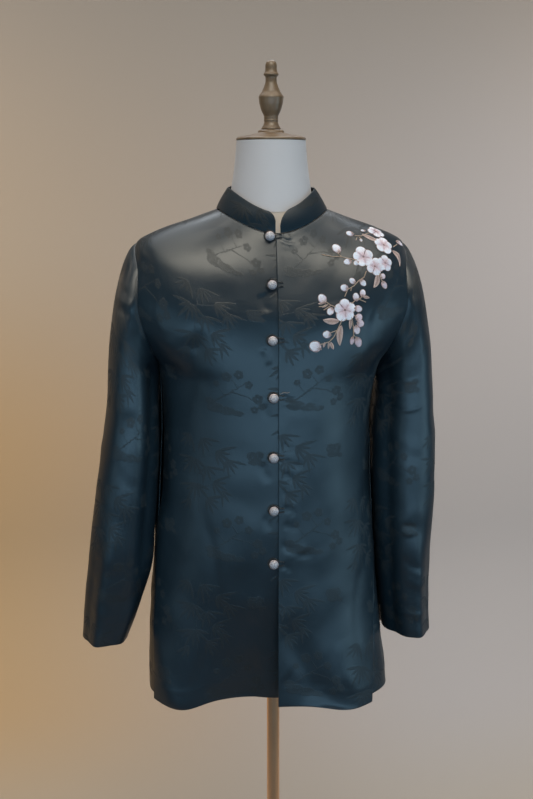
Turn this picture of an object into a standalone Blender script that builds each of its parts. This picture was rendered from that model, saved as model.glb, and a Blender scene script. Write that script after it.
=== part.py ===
"""Dark satin shirt with a mandarin collar, worn by a limbless dress form on a pole stand.

Metres, +Z up. The shirt's front faces -Y, its wearer's right is -X. The foot stands on z = 0
with the pole on the Z axis. Tables are in millimetres.
"""
import math

import bmesh
import bpy
import numpy as np

MM = 0.001
WALL = 1.6                # cloth
COLLAR_WALL = 2.0         # stiffened cloth
SEAM_GAP = 0.2            # each panel stops this short of a seam
VENT_GAP = 2.2            # and this short of it along the side vents
VENT_TOP = 12.6           # row where the side vents start
UNDER_LAP = 34.0          # under front runs this far past the middle
OVER_EDGE = -1.5          # x of the over front's edge
SHIRT_X = -4.0            # shirt and form stand this far off the pole's axis

FRONT_COLUMNS, BACK_COLUMNS = 16, 26
BODY_ROWS = 29
SLEEVE_COLUMNS = 22
SLEEVE_CAP_ROWS, SLEEVE_ARM_ROWS = 7, 10
COLLAR_COLUMNS, COLLAR_ROWS = 40, 3
FORM_COLUMNS = 40

# The shirt's rings, neckline to hem. A ring is a superellipse about (0, middle). Edges are the
# angles from centre front at which the fronts and, down to the underarm, the back stop.
RING_NAMES = ("z_front", "z_side", "z_back", "half_right", "half_left", "middle", "front_right",
              "front_left", "back", "fullness", "edge_right", "edge_left", "edge_back")
RINGS = np.array([
    (1412, 1449, 1463, 86, 88, 1, 81.5, 84, 80, 2.0, 90, 90, 90),
    (1383, 1434, 1435, 128, 129, 2, 92.5, 95, 100, 2.1, 90, 90, 90),
    (1352, 1419, 1406, 172, 171, 2, 102.5, 105, 112, 2.25, 90, 90, 90),
    (1322, 1396, 1375, 213, 211, 2, 110.5, 113, 116, 2.4, 90, 90, 90),
    (1292, 1362, 1342, 219, 217, 2, 118, 120.5, 116, 2.5, 74, 74, 104),
    (1262, 1314, 1306, 227, 224, 4, 124.5, 127, 113, 2.6, 67, 67, 111),
    (1232, 1272, 1270, 219, 212, 6, 128.5, 131, 110, 2.6, 67, 67, 111),
    (1203, 1230, 1232, 196, 188, 8, 131.5, 134, 106, 2.6, 75, 75, 104),
    (1174, 1198, 1200, 178, 170, 12, 135.5, 138, 101, 2.5, 90, 90, 90),
    (1115, 1120, 1120, 176, 162, 22, 145.5, 148, 91, 2.4, 87, 87, 87),
    (1040, 1040, 1040, 180, 163, 24, 147.5, 150, 89, 2.4, 83, 82, 83),
    (960, 960, 960, 186, 166, 24, 147, 149.6, 90, 2.5, 79, 75, 79),
    (880, 880, 880, 191, 171, 24, 144.5, 149.5, 91, 2.6, 76, 68, 76),
    (800, 800, 800, 197, 176, 20, 130, 146, 96, 2.8, 72, 60, 72),
    (735, 733, 733, 200, 183, 12, 113, 139, 105, 3.0, 68, 52, 68),
    (675, 671, 670, 200, 188, 8, 102, 136, 110, 3.1, 66, 46, 66),
], dtype=float)
SHOULDER_ROW, UNDERARM_ROW, LAST_ROW = 3.0, 8.0, len(RINGS) - 1.0

# Large soft folds of the body: piece, x and z where it starts and ends, half-width, how far out.
FOLDS = (
    ("front_right", -150, 610, -152, 900, 34, 20),
    ("front_right", -45, 600, -50, 860, 42, -9),
    ("front_right", -126, 1235, -160, 1075, 15, -5),
    ("front_right", -178, 1010, -176, 1260, 11, -5),
    ("front_left", 108, 610, 100, 860, 42, 10),
    ("front_left", 60, 1130, 96, 880, 40, 4),
    ("front_left", 152, 1010, 158, 1230, 11, -5),
    ("back", -120, 610, -100, 1000, 40, 8),
    ("back", 70, 610, 62, 980, 46, 9),
    ("back", -10, 600, -14, 900, 34, -7),
    ("back", 150, 1060, 96, 1250, 16, -4),
    ("back", -150, 1070, -100, 1260, 16, -4),
)

# Where the hem hangs lower than its ring: piece, x, half-width, drop.
HEM_DIPS = (
    ("front_right", -152, 42, 13),
    ("front_left", 0, 300, 3),
    ("front_left", 116, 48, 9),
    ("back", 180, 38, -8),
)
HEM_DIP_TOP = 12.0        # row where the dips begin

# Sleeve sections below the armhole: z, inner and outer x, middle y, half-depth, fullness.
SLEEVE_NAMES = ("z", "inner", "outer", "middle", "depth", "fullness")
SLEEVE_RIGHT = np.array([
    (1150, 181.5, 262, -4, 72, 2.3),
    (1085, 180.5, 271, -12, 70, 2.3),
    (1000, 185, 283, -15, 66, 2.3),
    (930, 190, 292, -14, 63, 2.4),
    (880, 194.5, 298, -10, 61, 2.4),
    (820, 214, 304, -4, 60, 2.3),
    (757, 237, 309, 4, 62, 2.1),
], dtype=float)
SLEEVE_LEFT = np.array([
    (1150, 173, 260, -4, 72, 2.3),
    (1085, 166, 264, -12, 70, 2.3),
    (1000, 167.5, 264, -16, 67, 2.3),
    (930, 171, 260, -17, 65, 2.4),
    (880, 175, 259, -15, 64, 2.4),
    (820, 180, 259, -12, 63, 2.3),
    (761, 187, 262, -10, 64, 2.1),
], dtype=float)
CAP_REACH = 92.0          # how strongly the cap leaves the shoulder outwards
UNDERARM_CLEARANCE = 2.4  # sleeve's middle surface outside the body's at the underarm

# Soft folds of the sleeves: sleeve, turn from the outer edge towards the front in degrees,
# z where it starts and ends, half-width in degrees, how far out.
SLEEVE_FOLDS = (
    ("right", 62, 1290, 1010, 16, 4),
    ("right", 112, 1250, 930, 15, -6),
    ("right", 245, 1240, 960, 18, -5),
    ("left", 58, 1290, 980, 17, 4),
    ("left", 110, 1250, 900, 14, -6),
    ("left", 250, 1240, 940, 18, -5),
)

COLLAR_RISE, COLLAR_LIFT = 34.0, 1.5
COLLAR_TOP = {"half": 68.0, "front": 77.0, "back": 71.0, "middle": 1.0}
COLLAR_END_RIGHT, COLLAR_END_LEFT = -1.5, 6.0
COLLAR_ROUND_RIGHT, COLLAR_ROUND_LEFT = 15.0, 24.0

# Ball buttons: x and z on the front; each has one cord loop.
BUTTONS = ((-11, 1410), (-10, 1337), (-11, 1253), (-9.5, 1165), (-9.5, 1072), (-9, 989), (-9, 904))
BALL_RADIUS = 7.2
CORD_RADIUS = 1.1
LOOP_RADIUS = 8.3
LOOP_TAIL = 9.0           # its ends run this far onto the over front
LOOP_HALF_WIDTH = 2.6     # and lie this far either side of the ball's middle
LOOP_CLIMB = 3.2          # it climbs onto the over front this far before its edge

# The form above and below the shirt's shoulders, where it follows the cloth.
FORM_NAMES = ("z_front", "z_side", "z_back", "half", "middle", "front", "back", "fullness")
FORM_NECK = np.array([
    (1556.5, 1556.5, 1556.5, 54.5, 0, 54.5, 54.5, 2.0),
    (1520, 1522, 1524, 57.5, 0, 57, 58, 2.0),
    (1480, 1486, 1492, 62.5, 0, 60.5, 63, 2.0),
    (1450, 1467, 1478, 65.5, 0, 64, 67, 2.0),
    (1430, 1452, 1465, 70, 0, 67.5, 71, 2.0),
], dtype=float)
FORM_BODY = np.array([
    (1315, 1383, 1366, 203, 2, 105, 111, 2.6),
    (1275, 1330, 1315, 199, 1, 112, 111, 2.7),
    (1235, 1275, 1262, 187, 0, 116, 108, 2.6),
    (1190, 1215, 1206, 168, 0, 117, 104, 2.4),
    (1130, 1140, 1136, 154, 2, 112, 99, 2.3),
    (1040, 1040, 1040, 145, 2, 100, 94, 2.2),
    (950, 950, 950, 152, 2, 96, 98, 2.2),
    (870, 870, 870, 160, 2, 92, 101, 2.3),
    (805, 805, 805, 158, 2, 88, 99, 2.3),
    (800, 800, 800, 154, 2, 84, 95, 2.3),
], dtype=float)
FORM_SHOULDER_ROWS = (0.02, 0.6, 1.2, 1.8, 2.3, 2.7)
FORM_INSET = 2.6          # form below the middle of the cloth on the shoulders

CAP_GAP = 0.3
CAP_BOTTOM = 1556.8
CAP_PROFILE = ((0, 16.5), (17, 16.5), (20.5, 15), (21, 11.2), (27, 10.4), (32.5, 8.6), (42, 7.2),
               (50, 5.6), (54.5, 4.0), (55.3, 1.6), (54.6, 0), (0, 0))
FINIAL_BOTTOM = CAP_BOTTOM + 16.5 + CAP_GAP
FINIAL_PROFILE = ((0, 107), (4.6, 106.4), (8.0, 103.4), (9.3, 98.2), (8.9, 93.5), (9.8, 88.5),
                  (12.1, 85.4), (11.6, 83.2), (8.8, 81.2), (8.9, 73), (11.2, 66), (14.6, 58),
                  (19.4, 51.5), (19.9, 49.4), (19.3, 47.4), (18.6, 40), (15.4, 29), (11.0, 20.4),
                  (11.5, 18.2), (10.7, 16.2), (11.6, 14), (10.6, 11.6), (12.4, 6.2), (15.6, 1.6),
                  (15.4, 0), (0, 0))
BASE_PROFILE = ((0, 30), (20, 30), (23.5, 27.5), (26, 17), (34, 13), (190, 8), (198, 6.5),
                (200, 4), (200, 0), (0, 0))
POLE_BOTTOM, POLE_TOP = 30.3, 799.7
POLE_RADIUS, FLANGE_RADIUS, FLANGE_HEIGHT = 10.6, 32.0, 6.0
TURNED_STEPS = 20
BASE_STEPS = 36


def clear_scene():
    for item in list(bpy.data.objects):
        bpy.data.objects.remove(item, do_unlink=True)
    for group in list(bpy.data.collections):
        bpy.data.collections.remove(group)


def smooth_columns(table, at):
    """Every column of a table read at fractional rows, monotone between its rows."""
    at = np.clip(np.asarray(at, dtype=float), 0.0, len(table) - 1.0)
    step = np.diff(table, axis=0)
    slope = np.zeros_like(table)
    before, after = step[:-1], step[1:]
    same = before * after > 0
    total = np.where(same, before + after, 1.0)
    slope[1:-1] = np.where(same, 2 * before * after / total, 0.0)
    slope[0], slope[-1] = step[0], step[-1]
    low = np.minimum(at.astype(int), len(table) - 2)
    t = (at - low)[..., None]
    p0, p1, m0, m1 = table[low], table[low + 1], slope[low], slope[low + 1]
    return ((2 * t**3 - 3 * t**2 + 1) * p0 + (t**3 - 2 * t**2 + t) * m0
            + (3 * t**2 - 2 * t**3) * p1 + (t**3 - t**2) * m1)


def columns_of(names, table, at):
    """The table's columns by name at fractional rows, as arrays that broadcast along a row."""
    values = smooth_columns(table, at)
    return {name: values[..., i, None] for i, name in enumerate(names)}


def power(value, exponent):
    return np.sign(value) * np.abs(value) ** exponent


def ring_points(ring, half, front, side, turn):
    """Points of a ring at angles from centre front, in mm."""
    s, c = np.sin(turn), np.cos(turn)
    exponent = 2.0 / ring["fullness"]
    x = side * half * power(s, exponent)
    y = ring["middle"] - np.where(c > 0, front, ring["back"]) * power(c, exponent)
    z_middle = np.where(c > 0, ring["z_front"], ring["z_back"])
    z = z_middle + (ring["z_side"] - z_middle) * np.abs(s) ** 1.7
    return np.stack([x, y, z], axis=-1)


def shirt_points(rows, side, turn):
    ring = columns_of(RING_NAMES, RINGS, rows)
    half = ring["half_left"] if side > 0 else ring["half_right"]
    front = ring["front_left"] if side > 0 else ring["front_right"]
    return ring_points(ring, half, front, side, turn)


def turn_at(rows, side, x):
    """The angle at which a ring passes x on its front."""
    ring = columns_of(RING_NAMES, RINGS, rows)
    half = ring["half_left"] if side > 0 else ring["half_right"]
    return np.arcsin(power(side * x / half, ring["fullness"] / 2.0))


def even_columns(lines, count, trim_start, trim_end):
    """Each line of points cut back at its ends and divided into even columns."""
    result = np.empty((len(lines), count + 1, 3))
    for i, line in enumerate(lines):
        run = np.concatenate([[0], np.cumsum(np.linalg.norm(np.diff(line, axis=0), axis=1))])
        at = np.linspace(trim_start[i], run[-1] - trim_end[i], count + 1)
        result[i] = np.stack([np.interp(at, run, line[:, k]) for k in range(3)], axis=1)
    return result


def back_edge(ring, side, rows):
    """Where the back stops: at the armhole, then at the side seam it shares with the front."""
    seam = ring["edge_left"] if side > 0 else ring["edge_right"]
    return np.where(rows[:, None] > UNDERARM_ROW, seam, ring["edge_back"])


def seam_trim(rows):
    return SEAM_GAP + VENT_GAP * np.clip((rows - VENT_TOP) / 0.8, 0, 1)


def normals_of(grid):
    across = np.gradient(grid, axis=1)
    down = np.gradient(grid, axis=0)
    normal = np.cross(across, down)
    return normal / np.maximum(np.linalg.norm(normal, axis=-1, keepdims=True), 1e-9)


def eased(value):
    value = np.clip(value, 0, 1)
    return value * value * (3 - 2 * value)


def fold_depth(grid, piece):
    """How far the large folds move each point of a panel outwards."""
    depth = np.zeros(grid.shape[:2])
    for name, x0, z0, x1, z1, width, out in FOLDS:
        if name != piece:
            continue
        line = np.array([x1 - x0, z1 - z0], dtype=float)
        length = np.linalg.norm(line)
        line /= length
        dx, dz = grid[..., 0] - x0, grid[..., 2] - z0
        along = (dx * line[0] + dz * line[1]) / length
        apart = dx * line[1] - dz * line[0]
        fade = eased(along / 0.3 + 1) * (1 - eased(along))
        depth += out * np.exp(-(apart / width) ** 2) * fade
    return depth


def outward(grid, normal):
    """Normals turned to point away from the body's axis."""
    inward = np.sum(normal[..., :2] * grid[..., :2], axis=-1) < 0
    return np.where(inward[..., None], -normal, normal)


def hem_dip(grid, rows, piece):
    """How far each point of a panel hangs below its ring."""
    grow = eased((rows - HEM_DIP_TOP) / (LAST_ROW - HEM_DIP_TOP))[:, None]
    return sum(drop * grow * np.exp(-((grid[..., 0] - x) / width) ** 2)
               for name, x, width, drop in HEM_DIPS if name == piece)


def front_grid(side, rows, columns):
    """One front panel: lap edge to shoulder, armhole and side seam."""
    ring = columns_of(RING_NAMES, RINGS, rows)
    edge = np.radians(ring["edge_left"] if side > 0 else ring["edge_right"])
    start = turn_at(rows, side, OVER_EDGE if side > 0 else UNDER_LAP)
    across = np.linspace(0.0, 1.0, 160)[None, :]
    lines = shirt_points(rows, side, start + (edge - start) * across)
    grid = even_columns(lines, columns, np.zeros(len(rows)), seam_trim(rows))
    normal = outward(grid, normals_of(grid))
    piece = "front_left" if side > 0 else "front_right"
    calm = np.clip((side * grid[..., 0] - 4.0) / 30.0, 0, 1)
    moved = grid + normal * (fold_depth(grid, piece) * calm)[..., None]
    moved[..., 2] -= hem_dip(grid, rows, piece)
    return moved


def back_grid(rows, columns):
    """The back panel, right side seam to left."""
    ring = columns_of(RING_NAMES, RINGS, rows)
    across = np.linspace(0.0, 1.0, 160)[None, :]
    right, left = np.radians(back_edge(ring, -1, rows)), np.radians(back_edge(ring, 1, rows))
    first = shirt_points(rows, -1, right + (math.pi - right) * across)
    second = shirt_points(rows, 1, math.pi + (left - math.pi) * across[:, 1:])
    trim = seam_trim(rows)
    grid = even_columns(np.concatenate([first, second], axis=1), columns, trim, trim)
    normal = outward(grid, normals_of(grid))
    calm = np.clip(grid[..., 1] / 40.0, 0, 1)
    moved = grid + normal * (fold_depth(grid, "back") * calm)[..., None]
    moved[..., 2] -= hem_dip(grid, rows, "back")
    return moved


def armhole(side, turn):
    """Armhole points: turn 0 at the shoulder, 90 at the front, 180 underarm, 270 at the back."""
    down = 0.5 - 0.5 * np.cos(turn)
    rows = SHOULDER_ROW + (UNDERARM_ROW - SHOULDER_ROW) * down
    ring = columns_of(RING_NAMES, RINGS, rows)
    front_edge = ring["edge_left"] if side > 0 else ring["edge_right"]
    edge = np.where(np.sin(turn)[:, None] >= 0, front_edge, ring["edge_back"])
    return shirt_points(rows, side, np.radians(edge))[:, 0]


def sleeve_section(side, at, turn):
    """Sleeve section points below the armhole at fractional rows of its table."""
    table = SLEEVE_LEFT if side > 0 else SLEEVE_RIGHT
    part = columns_of(SLEEVE_NAMES, table, at)
    exponent = 2.0 / part["fullness"]
    middle, half = (part["inner"] + part["outer"]) / 2, (part["outer"] - part["inner"]) / 2
    x = side * (middle + half * power(np.cos(turn), exponent))
    y = part["middle"] - part["depth"] * power(np.sin(turn), exponent)
    return np.stack([x, y, part["z"] + 0 * x], axis=-1)


def sleeve_grid(side, cap_rows, arm_rows, columns):
    """One sleeve: cap from the armhole to the arm's first section, then its sections to the cuff."""
    turn = np.linspace(0.0, 2 * math.pi, columns + 1)[:-1]
    hole = armhole(side, turn)
    top, front = (1 + np.cos(turn)) / 2, np.sin(turn)
    leave = np.stack([side * (3 + CAP_REACH * top), -16 * front, -25 - 15 * top], axis=1)
    seat = 1.2 + 0.8 * (1 - top)
    hole = hole + leave / np.linalg.norm(leave, axis=1, keepdims=True) * seat[:, None]
    hole[:, 0] += side * UNDERARM_CLEARANCE * (1 - top)
    first = sleeve_section(side, np.array([0.0]), turn[None, :])[0]
    arrive = np.zeros_like(first)
    arrive[:, 2] = -1.15 * (hole[:, 2] - first[:, 2])
    t = np.linspace(0.0, 1.0, cap_rows + 1)[:, None, None]
    cap = ((2 * t**3 - 3 * t**2 + 1) * hole + (t**3 - 2 * t**2 + t) * leave
           + (3 * t**2 - 2 * t**3) * first + (t**3 - t**2) * arrive)
    last = len(SLEEVE_LEFT if side > 0 else SLEEVE_RIGHT) - 1
    at = np.linspace(0.0, last, arm_rows + 1)[1:]
    grid = np.concatenate([cap, sleeve_section(side, at, turn[None, :])], axis=0)
    middle = grid.mean(axis=1, keepdims=True)
    out = grid - middle
    out /= np.linalg.norm(out, axis=-1, keepdims=True)
    depth = np.zeros(grid.shape[:2])
    for name, angle, z0, z1, width, amount in SLEEVE_FOLDS:
        if (name == "left") != (side > 0):
            continue
        apart = (np.degrees(turn) - angle + 180) % 360 - 180
        rise = np.clip((z0 - grid[..., 2]) / (z0 - z1), 0, 1)
        depth += amount * np.exp(-(apart[None, :] / width) ** 2) * np.sin(math.pi * rise)
    return grid + out * depth[..., None]


def collar_grid(columns, rows):
    """The collar band, right end round the back to left end, its end corners rounded."""
    base_right = turn_at(np.array([0.0]), -1, COLLAR_END_RIGHT)[0, 0]
    base_left = turn_at(np.array([0.0]), 1, COLLAR_END_LEFT)[0, 0]
    across = np.linspace(0.0, 1.0, 200)
    turn_right = base_right + (math.pi - base_right) * across
    turn_left = math.pi + (base_left - math.pi) * across[1:]
    ring = columns_of(RING_NAMES, RINGS, np.array([0.0]))
    base = np.concatenate([shirt_points(np.array([0.0]), -1, turn_right[None])[0],
                           shirt_points(np.array([0.0]), 1, turn_left[None])[0]])
    top_ring = {"fullness": np.array([[2.0]]), "middle": COLLAR_TOP["middle"],
                "back": COLLAR_TOP["back"], "z_front": ring["z_front"],
                "z_back": ring["z_back"], "z_side": ring["z_side"]}
    half, front = COLLAR_TOP["half"], COLLAR_TOP["front"]
    top = np.concatenate([ring_points(top_ring, half, front, -1, turn_right[None])[0],
                          ring_points(top_ring, half, front, 1, turn_left[None])[0]])
    top[:, 2] += COLLAR_RISE
    base[:, 2] += COLLAR_LIFT
    run = np.concatenate([[0], np.cumsum(np.linalg.norm(np.diff(base, axis=0), axis=1))])
    ease = np.linspace(-1.0, 1.0, columns + 1)
    at = run[-1] * (0.5 + 0.5 * (0.75 * ease + 0.25 * ease**3))
    base = np.stack([np.interp(at, run, base[:, k]) for k in range(3)], axis=1)
    top = np.stack([np.interp(at, run, top[:, k]) for k in range(3)], axis=1)
    height = np.linalg.norm(top - base, axis=1)
    cut = np.zeros(columns + 1)
    for distance, radius in ((at, COLLAR_ROUND_RIGHT), (run[-1] - at, COLLAR_ROUND_LEFT)):
        inside = np.clip(radius - distance, 0, radius)
        cut = np.maximum(cut, radius - np.sqrt(radius**2 - inside**2))
    share = (1 - cut / height)[None, :, None]
    level = np.linspace(0.0, 1.0, rows + 1)[:, None, None]
    bulge = 1.2 * np.sin(math.pi * level * share)
    out = base * np.array([1.0, 1.0, 0.0])
    out /= np.linalg.norm(out, axis=1, keepdims=True)
    return base[None] + (top - base)[None] * level * share + out[None] * bulge


def form_rings(columns):
    """Closed rings of the form from neck to hip."""
    turn = np.linspace(0.0, 2 * math.pi, columns + 1)[:-1]
    rings = []

    def plain(table):
        for row in table:
            part = {name: np.array([value]) for name, value in zip(FORM_NAMES, row)}
            rings.append(ring_points(part, part["half"], part["front"], 1.0, turn))

    plain(FORM_NECK)
    rows = np.array(FORM_SHOULDER_ROWS)
    spread = np.concatenate([rows - 0.05, rows + 0.05])
    half_turn = np.linspace(0.0, math.pi, columns // 2 + 1)[None, :]
    halves = {}
    for which in (-1, 1):
        near, middle = (
            ring_points(ring, ring["half_left"] if which > 0 else ring["half_right"],
                        ring["front_right"], which, half_turn)
            for ring in (columns_of(RING_NAMES, RINGS, spread), columns_of(RING_NAMES, RINGS, rows)))
        down = near[len(rows):] - near[:len(rows)]
        along = np.gradient(middle, axis=1)
        normal = np.cross(along, down)
        normal /= np.linalg.norm(normal, axis=-1, keepdims=True)
        normal *= np.where(normal[..., 2:3] < 0, -1.0, 1.0)
        halves[which] = middle - normal * FORM_INSET
    for i in range(len(rows)):
        left, right = halves[1][i], halves[-1][i]
        rings.append(np.concatenate([left, right[::-1][1:-1]]))
    plain(FORM_BODY)
    return np.array(rings)


def material(name, colour, roughness, metallic=0.0):
    made = bpy.data.materials.new(name)
    made.use_nodes = True
    shader = made.node_tree.nodes["Principled BSDF"]
    shader.inputs["Base Color"].default_value = (*colour, 1.0)
    shader.inputs["Roughness"].default_value = roughness
    shader.inputs["Metallic"].default_value = metallic
    return made


def new_object(name, mesh, collection, slot):
    made = bpy.data.objects.new(name, mesh)
    collection.objects.link(made)
    mesh.materials.append(slot)
    return made


def grid_mesh(name, grid, closed=False, outside=1):
    """An open surface through a grid of points in mm; closed joins its last column to its first."""
    rows, columns = grid.shape[:2]
    verts = [tuple(p) for p in ((grid.reshape(-1, 3) + (SHIRT_X, 0, 0)) * MM)]
    faces = []
    for i in range(rows - 1):
        for j in range(columns if closed else columns - 1):
            k = (j + 1) % columns
            face = (i * columns + j, i * columns + k, (i + 1) * columns + k, (i + 1) * columns + j)
            faces.append(face if outside > 0 else face[::-1])
    mesh = bpy.data.meshes.new(name)
    mesh.from_pydata(verts, [], faces)
    mesh.update()
    return mesh


def solidify(item, thickness):
    shell = item.modifiers.new("Wall", "SOLIDIFY")
    shell.thickness = thickness * MM
    shell.offset = 0.0
    shell.use_even_offset = False
    shell.use_rim = True


def shade_smooth(item, angle=40):
    for face in item.data.polygons:
        face.use_smooth = True
    item.data.set_sharp_from_angle(angle=math.radians(angle))


def cloth(name, grid, wall, collection, slot, closed=False, outside=1):
    item = new_object(name, grid_mesh(name, grid, closed, outside), collection, slot)
    solidify(item, wall)
    shade_smooth(item)
    return item


def turned(name, profile, x, bottom, steps, collection, slot):
    """A turned piece: its profile, top to bottom in mm, swept round its upright axis."""
    mesh = bpy.data.meshes.new(name)
    verts = [(r * MM, 0.0, h * MM) for r, h in profile]
    mesh.from_pydata(verts, [(i, i + 1) for i in range(len(verts) - 1)], [])
    item = new_object(name, mesh, collection, slot)
    item.location = (x * MM, 0.0, bottom * MM)
    screw = item.modifiers.new("Turn", "SCREW")
    screw.steps = screw.render_steps = steps
    screw.use_merge_vertices = True
    screw.merge_threshold = 0.00001
    screw.use_smooth_shade = True
    return item


def closed_form(name, rings, collection, slot):
    """The form as one closed skin through its rings with flat ends."""
    count, columns = rings.shape[:2]
    mesh = bpy.data.meshes.new(name)
    verts = [tuple(p) for p in ((rings.reshape(-1, 3) + (SHIRT_X, 0, 0)) * MM)]
    faces = [tuple(range(columns))[::-1],
             tuple((count - 1) * columns + j for j in range(columns))]
    for i in range(count - 1):
        for j in range(columns):
            k = (j + 1) % columns
            faces.append((i * columns + j, i * columns + k,
                          (i + 1) * columns + k, (i + 1) * columns + j))
    mesh.from_pydata(verts, [], faces)
    work = bmesh.new()
    work.from_mesh(mesh)
    bmesh.ops.recalc_face_normals(work, faces=work.faces)
    work.to_mesh(mesh)
    work.free()
    item = new_object(name, mesh, collection, slot)
    shade_smooth(item, 50)
    return item


def front_y(side, x, z):
    """y of a front panel's middle surface at x and z."""
    rows = np.linspace(0.0, LAST_ROW, 600)
    line = shirt_points(rows, side, turn_at(rows, side, x))[:, 0]
    order = np.argsort(line[:, 2])
    return float(np.interp(z, line[order, 2], line[order, 1]))


def ball(name, x, z, collection, slot):
    """A ball button standing on the under front."""
    mesh = bpy.data.meshes.new(name)
    work = bmesh.new()
    bmesh.ops.create_uvsphere(work, u_segments=12, v_segments=8, radius=BALL_RADIUS * MM)
    work.to_mesh(mesh)
    work.free()
    item = new_object(name, mesh, collection, slot)
    lean = front_lean(z)
    y = front_y(-1, x, z) - (WALL / 2 + 0.4 + BALL_RADIUS) / lean
    item.location = ((x + SHIRT_X) * MM, y * MM, z * MM)
    shade_smooth(item, 60)
    return item


def front_lean(z):
    """Cosine of the front's slope from upright near z."""
    z = min(z, RINGS[0][0] - 10)
    rise = (front_y(-1, -8, z - 8) - front_y(-1, -8, z + 8)) / 16
    return 1 / math.sqrt(1 + rise * rise)


def loop(name, x, z, collection, slot):
    """A cord loop from the over front's edge round the ball."""
    turns = np.radians(np.linspace(30, 330, 11))
    ring = [(x + LOOP_RADIUS * math.cos(a), z + LOOP_RADIUS * math.sin(a)) for a in turns]
    tail_x = OVER_EDGE + LOOP_TAIL
    path = [(tail_x, z + LOOP_HALF_WIDTH)] + ring + [(tail_x, z - LOOP_HALF_WIDTH)]
    curve = bpy.data.curves.new(name, "CURVE")
    curve.dimensions = "3D"
    curve.bevel_depth = CORD_RADIUS * MM
    curve.bevel_resolution = 1
    curve.use_fill_caps = True
    spline = curve.splines.new("POLY")
    spline.points.add(len(path) - 1)
    for point, (px, pz) in zip(spline.points, path):
        on_over = px > OVER_EDGE - LOOP_CLIMB
        stand = (WALL / 2 + CORD_RADIUS + 0.35) / front_lean(pz)
        y = (front_y(1, px, pz) if on_over else front_y(-1, px, pz)) - stand
        point.co = ((px + SHIRT_X) * MM, y * MM, pz * MM, 1.0)
    item = bpy.data.objects.new(name, curve)
    collection.objects.link(item)
    curve.materials.append(slot)
    return item


def build():
    clear_scene()
    shirt = bpy.data.collections.new("mandarin_collar_shirt")
    bpy.context.scene.collection.children.link(shirt)

    satin = material("satin", (0.020, 0.043, 0.058), 0.42)
    pearl = material("pearl", (0.62, 0.58, 0.60), 0.35)
    cord = material("cord", (0.012, 0.016, 0.022), 0.6)
    cover = material("form_cover", (0.62, 0.61, 0.58), 0.85)
    wood = material("turned_wood", (0.20, 0.115, 0.055), 0.38)
    steel = material("pole_metal", (0.62, 0.56, 0.50), 0.18, metallic=1.0)
    foot = material("foot_metal", (0.05, 0.05, 0.052), 0.45)

    rows = np.linspace(0.0, LAST_ROW, BODY_ROWS)
    cloth("front_right", front_grid(-1, rows, FRONT_COLUMNS + 2), WALL, shirt, satin)
    cloth("front_left", front_grid(1, rows, FRONT_COLUMNS), WALL, shirt, satin, outside=-1)
    cloth("back", back_grid(rows, BACK_COLUMNS), WALL, shirt, satin)
    for side, name in ((-1, "sleeve_right"), (1, "sleeve_left")):
        grid = sleeve_grid(side, SLEEVE_CAP_ROWS, SLEEVE_ARM_ROWS, SLEEVE_COLUMNS)
        cloth(name, grid, WALL, shirt, satin, closed=True, outside=side)
    cloth("collar", collar_grid(COLLAR_COLUMNS, COLLAR_ROWS), COLLAR_WALL, shirt, satin)
    for number, (x, z) in enumerate(BUTTONS, start=1):
        ball(f"button_{number}", x, z, shirt, pearl)
        loop(f"loop_{number}", x, z, shirt, cord)

    closed_form("form_torso", form_rings(FORM_COLUMNS), shirt, cover)
    turned("neck_cap", CAP_PROFILE, SHIRT_X, CAP_BOTTOM, TURNED_STEPS, shirt, wood)
    turned("finial", FINIAL_PROFILE, SHIRT_X, FINIAL_BOTTOM, TURNED_STEPS, shirt, wood)
    pole = ((0, POLE_TOP - POLE_BOTTOM), (FLANGE_RADIUS, POLE_TOP - POLE_BOTTOM),
            (FLANGE_RADIUS, POLE_TOP - POLE_BOTTOM - FLANGE_HEIGHT),
            (POLE_RADIUS, POLE_TOP - POLE_BOTTOM - FLANGE_HEIGHT), (POLE_RADIUS, 0), (0, 0))
    turned("pole", pole, 0.0, POLE_BOTTOM, TURNED_STEPS, shirt, steel)
    turned("base", BASE_PROFILE, 0.0, 0.0, BASE_STEPS, shirt, foot)


build()
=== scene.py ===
import math

import bmesh
import bpy
import numpy as np
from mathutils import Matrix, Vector
from mathutils.bvhtree import BVHTree


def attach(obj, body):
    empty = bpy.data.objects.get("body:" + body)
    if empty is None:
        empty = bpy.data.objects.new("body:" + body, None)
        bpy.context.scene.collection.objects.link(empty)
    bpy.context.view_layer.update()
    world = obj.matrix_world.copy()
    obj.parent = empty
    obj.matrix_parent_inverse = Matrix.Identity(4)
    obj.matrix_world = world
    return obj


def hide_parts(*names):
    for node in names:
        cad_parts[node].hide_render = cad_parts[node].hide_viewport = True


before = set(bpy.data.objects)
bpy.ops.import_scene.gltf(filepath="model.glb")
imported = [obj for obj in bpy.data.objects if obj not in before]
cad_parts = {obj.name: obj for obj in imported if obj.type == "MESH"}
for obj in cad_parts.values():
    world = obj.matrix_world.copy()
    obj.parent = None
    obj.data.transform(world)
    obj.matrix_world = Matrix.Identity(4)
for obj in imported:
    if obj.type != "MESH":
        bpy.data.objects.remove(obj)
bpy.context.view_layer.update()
mm = 0.001
print("frame loaded:", len(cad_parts), "nodes")

# The shirt and its form stand this far off the pole. Every table below is in mm from their own axis.
shirtAxisX = -4.0

cameraPlace = {
    "imageWidth": 533, "imageHeight": 799,
    "distance": 2.30, "height": 1.484, "azimuth": -6.0,
    "focalPixels": 1437.0, "levelRow": 187.0, "axisColumn": 271.0,
}


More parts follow.
